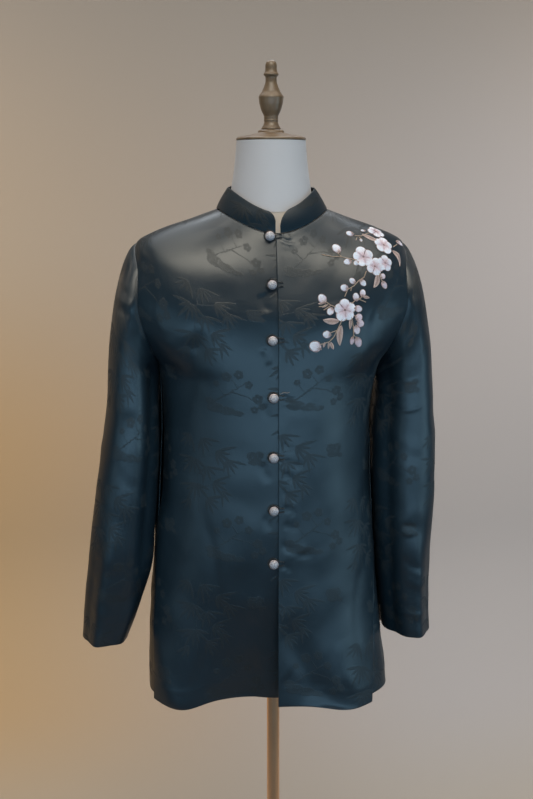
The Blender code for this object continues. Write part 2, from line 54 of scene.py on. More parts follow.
def makeCamera(place):
    turn = math.radians(place["azimuth"])
    tilt = math.atan((place["imageHeight"] / 2 - place["levelRow"]) / place["focalPixels"])
    aside = math.atan((place["axisColumn"] - place["imageWidth"] / 2) / place["focalPixels"])
    data = bpy.data.cameras.new("photoCamera")
    data.sensor_fit, data.sensor_height = "VERTICAL", 36.0
    data.lens = place["focalPixels"] * data.sensor_height / place["imageHeight"]
    camera = bpy.data.objects.new("photoCamera", data)
    camera.location = (math.sin(turn) * place["distance"] + shirtAxisX * mm,
                       -math.cos(turn) * place["distance"], place["height"])
    camera.rotation_euler = (math.pi / 2 - tilt, 0.0, turn + aside)
    bpy.context.scene.collection.objects.link(camera)
    bpy.context.scene.camera = camera


makeCamera(cameraPlace)


# Small helpers for tables, meshes and nodes

def eased(value):
    value = np.clip(value, 0, 1)
    return value * value * (3 - 2 * value)


def power(value, exponent):
    return np.sign(value) * np.abs(value) ** exponent


def hermite(t, first, leave, last, arrive):
    return ((2 * t**3 - 3 * t**2 + 1) * first + (t**3 - 2 * t**2 + t) * leave
            + (3 * t**2 - 2 * t**3) * last + (t**3 - t**2) * arrive)


def evenedOut(line, passes):  # the ends keep their place
    line = line.copy()
    for _ in range(passes):
        line[1:-1] = 0.25 * (line[:-2] + 2 * line[1:-1] + line[2:])
    return line


def smoothColumns(table, at):
    at = np.clip(np.asarray(at, dtype=float), 0.0, len(table) - 1.0)
    step = np.diff(table, axis=0)
    slope = np.zeros_like(table)
    before, after = step[:-1], step[1:]
    same = before * after > 0
    slope[1:-1] = np.where(same, 2 * before * after / np.where(same, before + after, 1.0), 0.0)
    slope[0], slope[-1] = step[0], step[-1]
    low = np.minimum(at.astype(int), len(table) - 2)
    t = (at - low)[..., None]
    return hermite(t, table[low], slope[low], table[low + 1], slope[low + 1])


def columnsOf(names, table, at):
    values = smoothColumns(table, at)
    return {name: values[..., i, None] for i, name in enumerate(names)}


def closeSteps(count, close=(0.06, 0.2, 0.5)):  # even steps, closer together at both ends
    near = np.array(close)
    return np.concatenate([[0], near, np.arange(1, count), count - near[::-1], [count]]) / count


def runAlong(points, axis):
    step = np.linalg.norm(np.diff(points, axis=axis), axis=-1)
    start = np.zeros_like(np.take(step, [0], axis=axis))
    return np.cumsum(np.concatenate([start, step], axis=axis), axis=axis)


def normalsOf(grid, closed=False):
    if closed:
        wide = np.concatenate([grid[:, -2:-1], grid, grid[:, 1:2]], axis=1)
        across = (wide[:, 2:] - wide[:, :-2])
    else:
        across = np.gradient(grid, axis=1)
    normal = np.cross(across, np.gradient(grid, axis=0))
    return normal / np.maximum(np.linalg.norm(normal, axis=-1, keepdims=True), 1e-9)


def linkObject(name, mesh):
    item = bpy.data.objects.new(name, mesh)
    bpy.context.scene.collection.objects.link(item)
    return item


def triangleCount(item):
    return sum(len(face.vertices) - 2 for face in item.data.polygons)


def mergeDoubles(mesh, distance=2e-6):
    work = bmesh.new()
    work.from_mesh(mesh)
    bmesh.ops.remove_doubles(work, verts=work.verts, dist=distance)
    bmesh.ops.dissolve_degenerate(work, edges=work.edges, dist=1e-7)
    work.to_mesh(mesh)
    work.free()


def faceOutwards(mesh):
    work = bmesh.new()
    work.from_mesh(mesh)
    bmesh.ops.recalc_face_normals(work, faces=work.faces)
    work.to_mesh(mesh)
    work.free()


def gridFaces(rows, columns, first=0, turned=False):
    corner = first + np.arange((rows - 1) * columns).reshape(rows - 1, columns)[:, :-1].ravel()
    face = np.stack([corner, corner + 1, corner + columns + 1, corner + columns], axis=1)
    return face[:, ::-1] if turned else face


# Points are in mm about the shirt's axis; flat is each point's place in the cut.
def meshOf(name, points, faces, flat=None):
    mesh = bpy.data.meshes.new(name)
    mesh.from_pydata((points + (shirtAxisX, 0, 0)) * mm, [], faces.tolist())
    if flat is not None:
        layer = mesh.uv_layers.new(name="cut")
        corners = np.empty(len(mesh.loops), dtype=np.int32)
        mesh.loops.foreach_get("vertex_index", corners)
        layer.data.foreach_set("uv", (flat[corners] * mm).astype(np.float32).ravel())
    mesh.polygons.foreach_set("use_smooth", np.ones(len(mesh.polygons), dtype=bool))
    mesh.update()
    return mesh


# Shirt surface

ringNames = ("frontZ", "sideZ", "backZ", "halfRight", "halfLeft", "middle", "frontRight",
             "frontLeft", "back", "fullness", "edgeRight", "edgeLeft", "edgeBack")
rings = np.array([
    (1412, 1449, 1463, 86, 88, 1, 81.5, 84, 80, 2.0, 90, 90, 90),
    (1383, 1434, 1435, 128, 129, 2, 92.5, 95, 100, 2.1, 90, 90, 90),
    (1352, 1419, 1406, 172, 171, 2, 102.5, 105, 112, 2.25, 90, 90, 90),
    (1322, 1396, 1375, 213, 211, 2, 110.5, 113, 116, 2.4, 90, 90, 90),
    (1292, 1362, 1342, 219, 217, 2, 118, 120.5, 116, 2.5, 74, 74, 104),
    (1262, 1314, 1306, 227, 224, 4, 124.5, 127, 113, 2.6, 67, 67, 111),
    (1232, 1272, 1270, 219, 212, 6, 128.5, 131, 110, 2.6, 67, 67, 111),
    (1203, 1230, 1232, 196, 188, 8, 131.5, 134, 106, 2.6, 75, 75, 104),
    (1174, 1198, 1200, 178, 170, 12, 135.5, 138, 101, 2.5, 90, 90, 90),
    (1115, 1120, 1120, 176, 162, 22, 145.5, 148, 91, 2.4, 87, 87, 87),
    (1040, 1040, 1040, 180, 163, 24, 147.5, 150, 89, 2.4, 83, 82, 83),
    (960, 960, 960, 186, 166, 24, 147, 149.6, 90, 2.5, 79, 75, 79),
    (880, 880, 880, 191, 171, 24, 144.5, 149.5, 91, 2.6, 76, 68, 76),
    (800, 800, 800, 197, 176, 20, 130, 146, 96, 2.8, 72, 60, 72),
    (735, 733, 733, 200, 183, 12, 113, 139, 105, 3.0, 68, 52, 68),
    (675, 671, 670, 200, 188, 8, 102, 136, 110, 3.1, 66, 46, 66),
], dtype=float)

shirtCut = {
    "wall": 1.5, "collarWall": 2.0, "seamGap": 0.1, "ventGap": 0.3, "ventRow": 12.6,
    "underLap": 34.0, "overEdge": -1.5, "shoulderRow": 3.0, "underarmRow": 8.0, "lastRow": 15.0,
    "dipRow": 12.0, "bodyRows": 226, "frontColumns": 86, "backColumns": 124,
    "sleeveColumns": 112, "capRows": 62, "armRows": 118, "collarColumns": 230, "collarRows": 16,
}

# Large folds of each piece: x and z where each starts and ends, half-width, how far out.
folds = {
    "frontRight": (
        (-156, 610, -160, 930, 40, 17), (-45, 600, -50, 860, 42, -9), (-126, 1235, -160, 1075, 15, -5),
        (-178, 1010, -176, 1260, 11, -5),
    ),
    "frontLeft": (
        (108, 610, 100, 860, 42, 10), (60, 1130, 96, 880, 40, 4), (152, 1010, 158, 1230, 11, -5),
    ),
    "back": (
        (-120, 610, -100, 1000, 40, 8), (70, 610, 62, 980, 46, 9), (-10, 600, -14, 900, 34, -7),
        (150, 1060, 96, 1250, 16, -4), (-150, 1070, -100, 1260, 16, -4),
    ),
}

# Where the hem hangs lower: piece, x, half-width, drop.
hemDips = (
    ("frontRight", -152, 42, 13),
    ("frontLeft", 0, 300, 3),
    ("frontLeft", 116, 48, 9),
    ("back", 180, 38, -8),
)

# Small creases: x and z of both ends, half-width, how far out, and how much steeper
# the side towards the wearer's left or the hem is.
creases = {
    "frontRight": (
        (-206, 1392, -201, 1352, 7, 0.6, 1.5), (-194, 1380, -192, 1320, 10, -0.5, 1.0),
        (-182, 1318, -174, 1262, 8, 0.8, 1.4), (-172, 1262, -120, 1238, 12, -0.5, 1.2),
        (-162, 1226, -118, 1196, 12, 0.5, 1.3), (-24, 1322, -16, 1296, 7, -1.1, 1.0),
        (-25, 1240, -17, 1216, 6, -1.0, 1.0), (-22, 1154, -15, 1130, 6, -0.9, 1.2),
        (-26, 1062, -16, 1036, 7, -1.0, 1.0), (-20, 980, -14, 958, 6, -0.9, 1.0),
        (-124, 1262, -158, 1090, 20, -1.8, 1.0), (-150, 900, -140, 1040, 14, 0.7, 1.6),
        (-128, 700, -122, 1000, 11, -0.9, 1.4), (-157, 640, -160, 1010, 14, 2.4, 1.0),
        (-100, 820, -40, 912, 26, -1.0, 1.0), (-104, 700, -36, 780, 24, 0.8, 1.2),
        (-70, 672, -20, 738, 20, -0.8, 1.0), (-30, 850, -12, 700, 12, 1.0, 1.0),
    ),
    "frontLeft": (
        (4, 1408, 24, 1402, 2.6, -1.0, 1.0), (6, 1403, 26, 1396, 3.0, 0.9, 1.6),
        (16, 1404, 48, 1419, 4.5, 0.5, 1.3), (8, 1392, 44, 1404, 7, 0.4, 1.5),
        (5, 1168, 24, 1161, 3.4, -1.0, 1.4), (5, 1150, 30, 1147, 3.0, -0.7, 1.0),
        (4, 1090, 24, 1086, 3.0, -0.9, 1.3), (4, 1068, 36, 1060, 3.6, -1.0, 1.5),
        (5, 1046, 22, 1034, 3.4, -0.9, 1.2), (6, 1018, 28, 1006, 3.2, -0.7, 1.0),
        (5, 992, 24, 984, 3.2, -0.9, 1.3), (6, 966, 32, 962, 3.4, -0.7, 1.0),
        (4, 934, 50, 916, 8, -1.0, 1.5), (4, 902, 20, 896, 3.2, -1.0, 1.2),
        (12, 918, 44, 930, 6, 0.7, 1.0), (14, 808, 104, 664, 27, -3.6, 1.2),
        (10, 720, 60, 690, 18, -1.2, 1.0), (64, 920, 110, 840, 22, 0.8, 1.2),
        (96, 770, 128, 690, 16, 1.1, 1.5), (142, 900, 146, 700, 10, -0.7, 1.2),
        (140, 990, 150, 850, 9, 0.8, 1.0), (198, 1388, 194, 1340, 7, 0.9, 1.4),
        (188, 1330, 174, 1262, 10, -0.8, 1.0), (160, 1312, 148, 1240, 8, 0.6, 1.5),
        (146, 1296, 138, 1228, 6, -0.5, 1.2), (172, 1250, 116, 1214, 13, 0.5, 1.3),
        (166, 1226, 120, 1176, 12, -0.5, 1.0),
    ),
    "back": (
        (-206, 1390, -188, 1322, 8, 1.2, 1.4), (204, 1388, 186, 1318, 8, 1.1, 1.3),
        (-186, 1300, -120, 1236, 12, -0.9, 1.2), (180, 1302, 116, 1240, 12, -0.8, 1.3),
        (-166, 1250, -96, 1196, 10, 0.8, 1.2), (160, 1246, 98, 1182, 10, 0.7, 1.4),
        (-44, 1440, -96, 1402, 8, 0.6, 1.2), (48, 1438, 92, 1398, 8, 0.6, 1.3),
        (-40, 1418, 36, 1424, 7, -0.6, 1.2), (-120, 1110, -20, 1082, 14, -0.8, 1.4),
        (104, 1126, 16, 1098, 13, -0.8, 1.2), (-96, 1056, -150, 980, 13, 0.9, 1.2),
        (40, 1040, 118, 972, 15, -1.0, 1.3), (-60, 930, -118, 812, 17, -1.3, 1.2),
        (24, 900, 84, 770, 16, 1.1, 1.4), (104, 860, 138, 720, 11, -1.3, 1.3),
        (-20, 800, -52, 690, 14, 1.1, 1.0), (-140, 900, -150, 720, 10, 1.3, 1.2),
        (146, 880, 148, 690, 4.5, -1.6, 1.5), (158, 860, 160, 690, 4, 1.4, 1.3),
        (168, 830, 171, 680, 4, -1.3, 1.2), (178, 790, 179, 700, 4, 0.9, 1.4),
    ),
    "sleeveRight": (
        (-244, 1332, -220, 1318, 5, -0.8, 1.4), (-246, 1316, -218, 1302, 5, 0.8, 1.2),
        (-246, 1298, -218, 1288, 5.5, -0.7, 1.3), (-214, 1318, -205, 1276, 5, 1.2, 1.8),
        (-222, 1262, -206, 1190, 10, 0.8, 1.2), (-262, 1160, -220, 1120, 13, 0.5, 1.4),
        (-256, 1060, -222, 1016, 14, -0.6, 1.3), (-286, 900, -250, 872, 14, -0.6, 1.3),
        (-292, 824, -264, 806, 7, 0.5, 1.0),
    ),
    "sleeveLeft": (
        (206, 1350, 199, 1284, 5, 1.4, 1.8), (222, 1322, 208, 1268, 8, -0.9, 1.2),
        (192, 1182, 232, 1184, 3.4, -0.7, 1.4), (192, 1136, 232, 1140, 3.4, -0.8, 1.6),
        (196, 1158, 240, 1164, 11, 0.6, 1.0), (196, 1076, 232, 1056, 13, -0.6, 1.3),
        (204, 948, 224, 945, 3.6, -1.2, 1.0), (204, 939, 222, 936, 4.4, 0.9, 1.0),
        (206, 892, 242, 876, 9, -0.7, 1.3), (210, 860, 248, 848, 8, 0.6, 1.2),
        (206, 806, 250, 800, 7, 0.5, 1.0),
    ),
    "sleeveRightBack": (
        (-232, 1310, -206, 1268, 8, 1.2, 1.4), (-262, 1226, -206, 1196, 11, -0.9, 1.2),
        (-268, 1120, -200, 1098, 10, -1.1, 1.4), (-276, 1078, -204, 1052, 11, 1.0, 1.2),
        (-284, 960, -226, 930, 12, -0.8, 1.3), (-290, 850, -240, 834, 10, 0.6, 1.2),
    ),
    "sleeveLeftBack": (
        (226, 1316, 200, 1270, 8, 1.2, 1.4), (256, 1216, 194, 1188, 11, -0.9, 1.3),
        (252, 1112, 186, 1100, 10, -1.1, 1.2), (256, 1066, 190, 1040, 11, 1.0, 1.4),
        (250, 930, 192, 906, 12, -0.8, 1.2), (250, 836, 196, 822, 10, 0.6, 1.3),
    ),
}

# Slow swells of the satin: about how long, how deep, which way they mostly lean, seed.
swells = {
    "frontRight": ((74, 0.22, 70, 11), (30, 0.03, 20, 12)),
    "frontLeft": ((70, 0.22, 110, 21), (28, 0.03, 160, 22)),
    "back": ((72, 0.26, 85, 31), (30, 0.04, 40, 32)),
    "sleeveRight": ((60, 0.20, 75, 41), (26, 0.03, 10, 42)),
    "sleeveLeft": ((60, 0.22, 105, 51), (26, 0.03, 170, 52)),
    "collar": ((46, 0.06, 90, 61), (22, 0.02, 0, 62)),
}


def ringPoints(ring, half, front, side, turn):
    s, c = np.sin(turn), np.cos(turn)
    exponent = 2.0 / ring["fullness"]
    x = side * half * power(s, exponent)
    y = ring["middle"] - np.where(c > 0, front, ring["back"]) * power(c, exponent)
    middleZ = np.where(c > 0, ring["frontZ"], ring["backZ"])
    return np.stack([x, y, middleZ + (ring["sideZ"] - middleZ) * np.abs(s) ** 1.7], axis=-1)


def sideOf(ring, side):
    return (ring["halfLeft"], ring["frontLeft"]) if side > 0 else (ring["halfRight"], ring["frontRight"])


def shirtPoints(rows, side, turn):
    ring = columnsOf(ringNames, rings, rows)
    return ringPoints(ring, *sideOf(ring, side), side, turn)


def turnAt(rows, side, x):
    ring = columnsOf(ringNames, rings, rows)
    return np.arcsin(power(side * x / sideOf(ring, side)[0], ring["fullness"] / 2.0))


def spreadAlong(lines, steps, trimStart, trimEnd):
    grid = np.empty((len(lines), len(steps), 3))
    for i, line in enumerate(lines):
        run = runAlong(line, 0)
        at = trimStart[i] + (run[-1] - trimEnd[i] - trimStart[i]) * steps
        grid[i] = np.stack([np.interp(at, run, line[:, k]) for k in range(3)], axis=1)
    return grid


def seamTrim(rows):
    return shirtCut["seamGap"] + shirtCut["ventGap"] * np.clip((rows - shirtCut["ventRow"]) / 0.8, 0, 1)


def nearEdges(grid, reach):  # 0 on the border of a panel, 1 from reach inwards
    across, down = runAlong(grid, 1), runAlong(grid, 0)
    gap = np.minimum(np.minimum(across, across[:, -1:] - across), np.minimum(down, down[-1:] - down))
    return eased(gap / reach)


def settle(grid, passes=26, reach=22):  # evens out the steps between rings, with the border kept
    return grid + (evenedOut(grid, passes) - grid) * nearEdges(grid, reach)[..., None]


def outwardNormals(grid):
    normal = normalsOf(grid)
    inward = np.sum(normal[..., :2] * grid[..., :2], axis=-1) < 0
    return np.where(inward[..., None], -normal, normal)


# Each point's share of the way along a line, how far off it lies, and the line's length.
def alongLine(grid, x0, z0, x1, z1):
    line = np.array([x1 - x0, z1 - z0], dtype=float)
    length = np.linalg.norm(line)
    line /= length
    dx, dz = grid[..., 0] - x0, grid[..., 2] - z0
    return (dx * line[0] + dz * line[1]) / length, dx * line[1] - dz * line[0], length


def foldDepth(grid, piece):
    depth = np.zeros(grid.shape[:2])
    for *ends, width, out in folds[piece]:
        along, apart, _ = alongLine(grid, *ends)
        depth += out * np.exp(-(apart / width) ** 2) * eased(along / 0.3 + 1) * (1 - eased(along))
    return depth


def creaseDepth(grid, piece):  # each crease bows a little, to one side or the other
    depth = np.zeros(grid.shape[:2])
    for x0, z0, x1, z1, width, out, steep in creases[piece]:
        along, apart, length = alongLine(grid, x0, z0, x1, z1)
        bow = 0.10 * length * np.sin(math.pi * np.clip(along, 0, 1)) * (1 if (x0 + z1) % 2 else -1)
        apart = (apart + bow) / width
        apart = np.where(apart > 0, apart * steep, apart)
        hump = np.exp(-apart**2) * (1 - 0.22 * apart**2)
        depth += out * hump * eased(along / 0.25 + 0.4) * eased((1.15 - along) / 0.4)
    return depth


def swellDepth(cut, piece):
    depth = np.zeros(cut.shape[:2])
    for length, deep, lean, seed in swells[piece]:
        pick = np.random.default_rng(seed)
        count = 14
        angle = np.radians(lean + pick.normal(0, 38, count))
        wave = 2 * math.pi / (length * pick.uniform(0.7, 1.6, count))
        phase = pick.uniform(0, 2 * math.pi, count)
        for a, k, p in zip(angle, wave, phase):
            along = cut[..., 0] * math.cos(a) + cut[..., 1] * math.sin(a)
            depth += deep * math.sqrt(2 / count) * np.cos(k * along + p)
    return depth


def hemDrop(grid, rows, piece):
    grow = eased((rows - shirtCut["dipRow"]) / (shirtCut["lastRow"] - shirtCut["dipRow"]))[:, None]
    return sum(drop * grow * np.exp(-((grid[..., 0] - x) / width) ** 2)
               for name, x, width, drop in hemDips if name == piece)


def dressPanel(grid, rows, piece, calm):  # folds, hem, creases and swells of a body panel
    normal = outwardNormals(grid)
    grid = grid + normal * (foldDepth(grid, piece) * calm)[..., None]
    grid[..., 2] -= hemDrop(grid, rows, piece)
    cut = cutOf(grid, piece)
    edge = nearEdges(grid, 14)
    fine = creaseDepth(grid, piece) * (0.15 + 0.85 * nearEdges(grid, 4)) + swellDepth(cut, piece) * edge
    toHem = runAlong(grid, 0)
    toHem = toHem[-1:] - toHem
    fine += 0.28 * np.exp(-((toHem - 30) / 2.6) ** 2)
    return grid + outwardNormals(grid) * fine[..., None], cut


def cutOf(grid, piece):  # each point's place on the flat cloth: across to the right as seen, up
    across = runAlong(grid, 1)
    down = runAlong(grid, 0)
    column = {"frontRight": 0.45, "frontLeft": 0.45, "back": 0.5}[piece]
    if piece == "frontRight":
        centre = [np.interp(0, row[::-1, 0], run[::-1]) for row, run in zip(grid, across)]
        across = np.array(centre)[:, None] - across
    elif piece == "frontLeft":
        across = across + shirtCut["overEdge"]
    else:
        across = across.max(axis=1, keepdims=True) / 2 - across
    level = down[:, int(column * (grid.shape[1] - 1)), None] + 0 * across
    return np.stack([across, -level], axis=-1)


def frontGrid(side):
    rows = closeSteps(shirtCut["bodyRows"]) * shirtCut["lastRow"]
    ring = columnsOf(ringNames, rings, rows)
    edge = np.radians(ring["edgeLeft"] if side > 0 else ring["edgeRight"])
    start = turnAt(rows, side, shirtCut["overEdge"] if side > 0 else shirtCut["underLap"])
    lines = shirtPoints(rows, side, start + (edge - start) * np.linspace(0.0, 1.0, 260)[None, :])
    steps = closeSteps(shirtCut["frontColumns"])
    grid = settle(spreadAlong(lines, steps, np.zeros(len(rows)), seamTrim(rows)))
    calm = np.clip((side * grid[..., 0] - 4.0) / 30.0, 0, 1)
    return dressPanel(grid, rows, "frontLeft" if side > 0 else "frontRight", calm)


def backGrid():
    rows = closeSteps(shirtCut["bodyRows"]) * shirtCut["lastRow"]
    ring = columnsOf(ringNames, rings, rows)
    below = rows[:, None] > shirtCut["underarmRow"]
    right = np.radians(np.where(below, ring["edgeRight"], ring["edgeBack"]))
    left = np.radians(np.where(below, ring["edgeLeft"], ring["edgeBack"]))
    across = np.linspace(0.0, 1.0, 220)[None, :]
    lines = np.concatenate([shirtPoints(rows, -1, right + (math.pi - right) * across),
                            shirtPoints(rows, 1, math.pi + (left - math.pi) * across[:, 1:])], axis=1)
    trim = seamTrim(rows)
    grid = settle(spreadAlong(lines, closeSteps(shirtCut["backColumns"]), trim, trim))
    return dressPanel(grid, rows, "back", np.clip(grid[..., 1] / 40.0, 0, 1))


# Sleeve sections below the armhole: z, inner and outer x, middle y, half-depth, fullness.
sleeveNames = ("z", "inner", "outer", "middle", "depth", "fullness")
sleeveTables = {
    -1: np.array([
        (1150, 181.5, 262, -4, 72, 2.3), (1085, 180.5, 271, -12, 70, 2.3), (1000, 185, 283, -15, 66, 2.3),
        (930, 190, 292, -14, 63, 2.4), (880, 194.5, 298, -10, 61, 2.4), (820, 214, 304, -4, 60, 2.3),
        (757, 237, 309, 4, 62, 2.1)], dtype=float),
    1: np.array([
        (1150, 173, 260, -4, 72, 2.3), (1085, 166, 264, -12, 70, 2.3), (1000, 167.5, 264, -16, 67, 2.3),
        (930, 171, 260, -17, 65, 2.4), (880, 175, 259, -15, 64, 2.4), (820, 180, 259, -12, 63, 2.3),
        (761, 187, 262, -10, 64, 2.1)], dtype=float),
}
sleeveCut = {"capReach": 92.0, "underarmClearance": 1.3, "seamGap": 0.15}

# Sleeve folds of each side: turn from the outer edge to the front, z where each starts and ends,
# half-width in degrees, how far out, how far towards the body.
sleeveFolds = {
    -1: (
        (60, 1300, 1000, 16, 2, 0), (138, 1310, 790, 27, -15, 0), (236, 1300, 850, 20, 0, 22),
        (285, 1240, 900, 18, -4, 0), (70, 980, 560, 13, 6, 0), (34, 980, 560, 20, -5, 0),
        (104, 900, 560, 15, -3, 0), (132, 860, 560, 12, 3, 0),
    ),
    1: (
        (56, 1300, 980, 17, 2, 0), (138, 1310, 600, 27, -14, 0), (236, 1300, 620, 20, 0, 20),
        (290, 1240, 900, 18, -4, 0), (76, 950, 560, 12, 5, 0), (40, 970, 560, 20, -5, 0),
    ),
}


def armhole(side, turn):
    first, last = shirtCut["shoulderRow"], shirtCut["underarmRow"]
    rows = first + (last - first) * (0.5 - 0.5 * np.cos(turn))
    ring = columnsOf(ringNames, rings, rows)
    frontEdge = ring["edgeLeft"] if side > 0 else ring["edgeRight"]
    edge = np.where(np.sin(turn)[:, None] >= 0, frontEdge, ring["edgeBack"])
    return shirtPoints(rows, side, np.radians(edge))[:, 0]


def sleeveGrid(side):
    turn = np.linspace(0.0, 2 * math.pi, shirtCut["sleeveColumns"] + 1)
    hole = armhole(side, turn)
    top, front = (1 + np.cos(turn)) / 2, np.sin(turn)
    leave = np.stack([side * (3 + sleeveCut["capReach"] * top), -16 * front, -25 - 15 * top], axis=1)
    hole = hole + leave / np.linalg.norm(leave, axis=1, keepdims=True) * sleeveCut["seamGap"]
    hole[:, 0] += side * sleeveCut["underarmClearance"] * (1 - top) ** 3
    table = sleeveTables[side]

    def section(at):
        part = columnsOf(sleeveNames, table, at)
        exponent = 2.0 / part["fullness"]
        centre, half = (part["inner"] + part["outer"]) / 2, (part["outer"] - part["inner"]) / 2
        x = side * (centre + half * power(np.cos(turn)[None, :], exponent))
        y = part["middle"] - part["depth"] * power(np.sin(turn)[None, :], exponent)
        return np.stack([x, y, part["z"] + 0 * x], axis=-1)

    first = section(np.array([0.0]))[0]
    arrive = np.zeros_like(first)
    arrive[:, 2] = -1.15 * (hole[:, 2] - first[:, 2])
    t = closeSteps(shirtCut["capRows"], (0.1, 0.4))[:-3, None, None]
    cap = hermite(t, hole, leave, first, arrive)
    at = closeSteps(shirtCut["armRows"])[4:] * (len(table) - 1)
    grid = np.concatenate([cap, section(np.concatenate([[0.0], at]))], axis=0)
    run = runAlong(grid, 0)
    grid = grid + (evenedOut(grid, 24) - grid) * eased(np.minimum(run, run[-1:] - run) / 30)[..., None]

    middle = grid[:, :-1].mean(axis=1, keepdims=True)
    out = grid - middle
    out /= np.linalg.norm(out, axis=-1, keepdims=True)
    depth = np.zeros(grid.shape[:2])
    aside = np.zeros(grid.shape[:2])
    for angle, z0, z1, width, amount, toBody in sleeveFolds[side]:
        apart = (np.degrees(turn) - angle + 180) % 360 - 180
        rise = np.clip((z0 - grid[..., 2]) / (z0 - z1), 0, 1)
        there = np.exp(-(apart[None, :] / width) ** 2) * eased(rise / 0.25) * eased((1 - rise) / 0.3)
        depth += amount * there * eased(run / 36)
        aside += toBody * there * eased(run / 36)
    grid = grid + out * depth[..., None]
    grid[..., 0] -= side * aside

    piece = "sleeveLeft" if side > 0 else "sleeveRight"
    around = runAlong(grid, 1).mean(axis=0)[None, :] + 0 * depth
    cut = np.stack([-side * around, -run.mean(axis=1, keepdims=True) + 0 * depth], axis=-1)
    toFront = eased((middle[..., 1] + 14 - grid[..., 1]) / 28)
    toCuff = run[-1:] - run
    edge = eased(np.minimum(run, toCuff) / 12)
    ring = swellDepth(cut, piece)
    ring = ring + (ring[:, :1] - ring[:, -1:]) * eased((around - around[:, -1:] + 40) / 40)
    fine = (creaseDepth(grid, piece) * toFront + creaseDepth(grid, piece + "Back") * (1 - toFront)
            + ring) * edge + 0.3 * np.exp(-((toCuff - 40) / 2.4) ** 2)
    normal = normalsOf(grid, closed=True)
    normal *= np.sign(np.sum(normal * out, axis=-1).mean())
    fine[:, -1] = fine[:, 0]
    return grid + normal * fine[..., None], cut


collarCut = {
    "rise": 34.0, "lift": 1.5, "topHalf": 68.0, "topFront": 77.0, "topBack": 71.0, "topMiddle": 1.0,
    "endRight": -1.5, "endLeft": 6.0, "roundRight": 15.0, "roundLeft": 24.0, "bulge": 1.2,
}


def collarGrid(own):
    zero = np.array([0.0])
    baseRight, baseLeft = turnAt(zero, -1, own["endRight"])[0, 0], turnAt(zero, 1, own["endLeft"])[0, 0]
    across = np.linspace(0.0, 1.0, 400)
    turnRight = baseRight + (math.pi - baseRight) * across
    turnLeft = math.pi + (baseLeft - math.pi) * across[1:]
    ring = columnsOf(ringNames, rings, zero)
    base = np.concatenate([shirtPoints(zero, -1, turnRight[None])[0],
                           shirtPoints(zero, 1, turnLeft[None])[0]])
    topRing = dict(ring, fullness=np.array([[2.0]]), middle=own["topMiddle"], back=own["topBack"])
    top = np.concatenate([ringPoints(topRing, own["topHalf"], own["topFront"], -1, turnRight[None])[0],
                          ringPoints(topRing, own["topHalf"], own["topFront"], 1, turnLeft[None])[0]])
    top[:, 2] += own["rise"]
    base[:, 2] += own["lift"]
    run = runAlong(base, 0)
    ease = 2 * closeSteps(shirtCut["collarColumns"]) - 1
    at = run[-1] * (0.5 + 0.5 * (0.75 * ease + 0.25 * ease**3))
    base = np.stack([np.interp(at, run, base[:, k]) for k in range(3)], axis=1)
    top = np.stack([np.interp(at, run, top[:, k]) for k in range(3)], axis=1)
    height = np.linalg.norm(top - base, axis=1)
    trim = np.zeros(len(at))
    for distance, radius in ((at, own["roundRight"]), (run[-1] - at, own["roundLeft"])):
        inside = np.clip(radius - distance, 0, radius)
        trim = np.maximum(trim, radius - np.sqrt(radius**2 - inside**2))
    share = (1 - trim / height)[None, :, None]
    level = closeSteps(shirtCut["collarRows"])[:, None, None]
    out = base * np.array([1.0, 1.0, 0.0])
    out /= np.linalg.norm(out, axis=1, keepdims=True)
    bulge = own["bulge"] * np.sin(math.pi * level * share)
    grid = base[None] + (top - base)[None] * level * share + out[None] * bulge
    upward = level[..., 0] * (height * share[0, :, 0])[None, :]
    cut = np.stack([(run[-1] / 2 - at)[None, :] + 0 * upward, upward], axis=-1)
    fine = swellDepth(cut, "collar") * eased(level[..., 0] * (1 - level[..., 0]) * 6)
    return grid + out[None] * fine[..., None], cut


def clothShell(name, grid, cut, wall, around, turned):  # a thin wall on the surface, its free edges rounded
    rows, columns = grid.shape[:2]
    down = runAlong(grid, 0)
    edge = np.minimum(down, down[-1:] - down)
    if not around:
        across = runAlong(grid, 1)
        edge = np.minimum(edge, np.minimum(across, across[:, -1:] - across))
    close = np.clip(edge / (0.6 * wall), 0, 1)
    half = 0.5 * wall * np.sqrt(1 - (1 - close) ** 2)
    normal = normalsOf(grid, closed=around) * (-1 if turned else 1)
    outer, inner = grid + normal * half[..., None], grid - normal * half[..., None]
    points = np.concatenate([outer.reshape(-1, 3), inner.reshape(-1, 3)])
    faces = np.concatenate([gridFaces(rows, columns, 0, turned),
                            gridFaces(rows, columns, rows * columns, not turned)])
    mesh = meshOf(name, points, faces, np.concatenate([cut.reshape(-1, 2)] * 2))
    mergeDoubles(mesh)
    return linkObject(name, mesh)


panels = {
    "frontRight": frontGrid(-1), "frontLeft": frontGrid(1), "back": backGrid(),
    "sleeveRight": sleeveGrid(-1), "sleeveLeft": sleeveGrid(1), "collar": collarGrid(collarCut),
}
turnedPanels = {"frontLeft", "sleeveRight"}
cadNodeOf = {"frontRight": "front_right", "frontLeft": "front_left", "back": "back",
             "sleeveRight": "sleeve_right", "sleeveLeft": "sleeve_left", "collar": "collar"}
shirtPieces = {}
for panelName, (grid, cut) in panels.items():
    wall = shirtCut["collarWall"] if panelName == "collar" else shirtCut["wall"]
    shirtPieces[panelName] = clothShell(panelName, grid, cut, wall, panelName.startswith("sleeve"),
                                        panelName in turnedPanels)
    size = np.ptp(cut.reshape(-1, 2), axis=0).round()
    print("cloth:", panelName, triangleCount(shirtPieces[panelName]), "triangles, cut", *size, "mm")


# The form inside the shirt

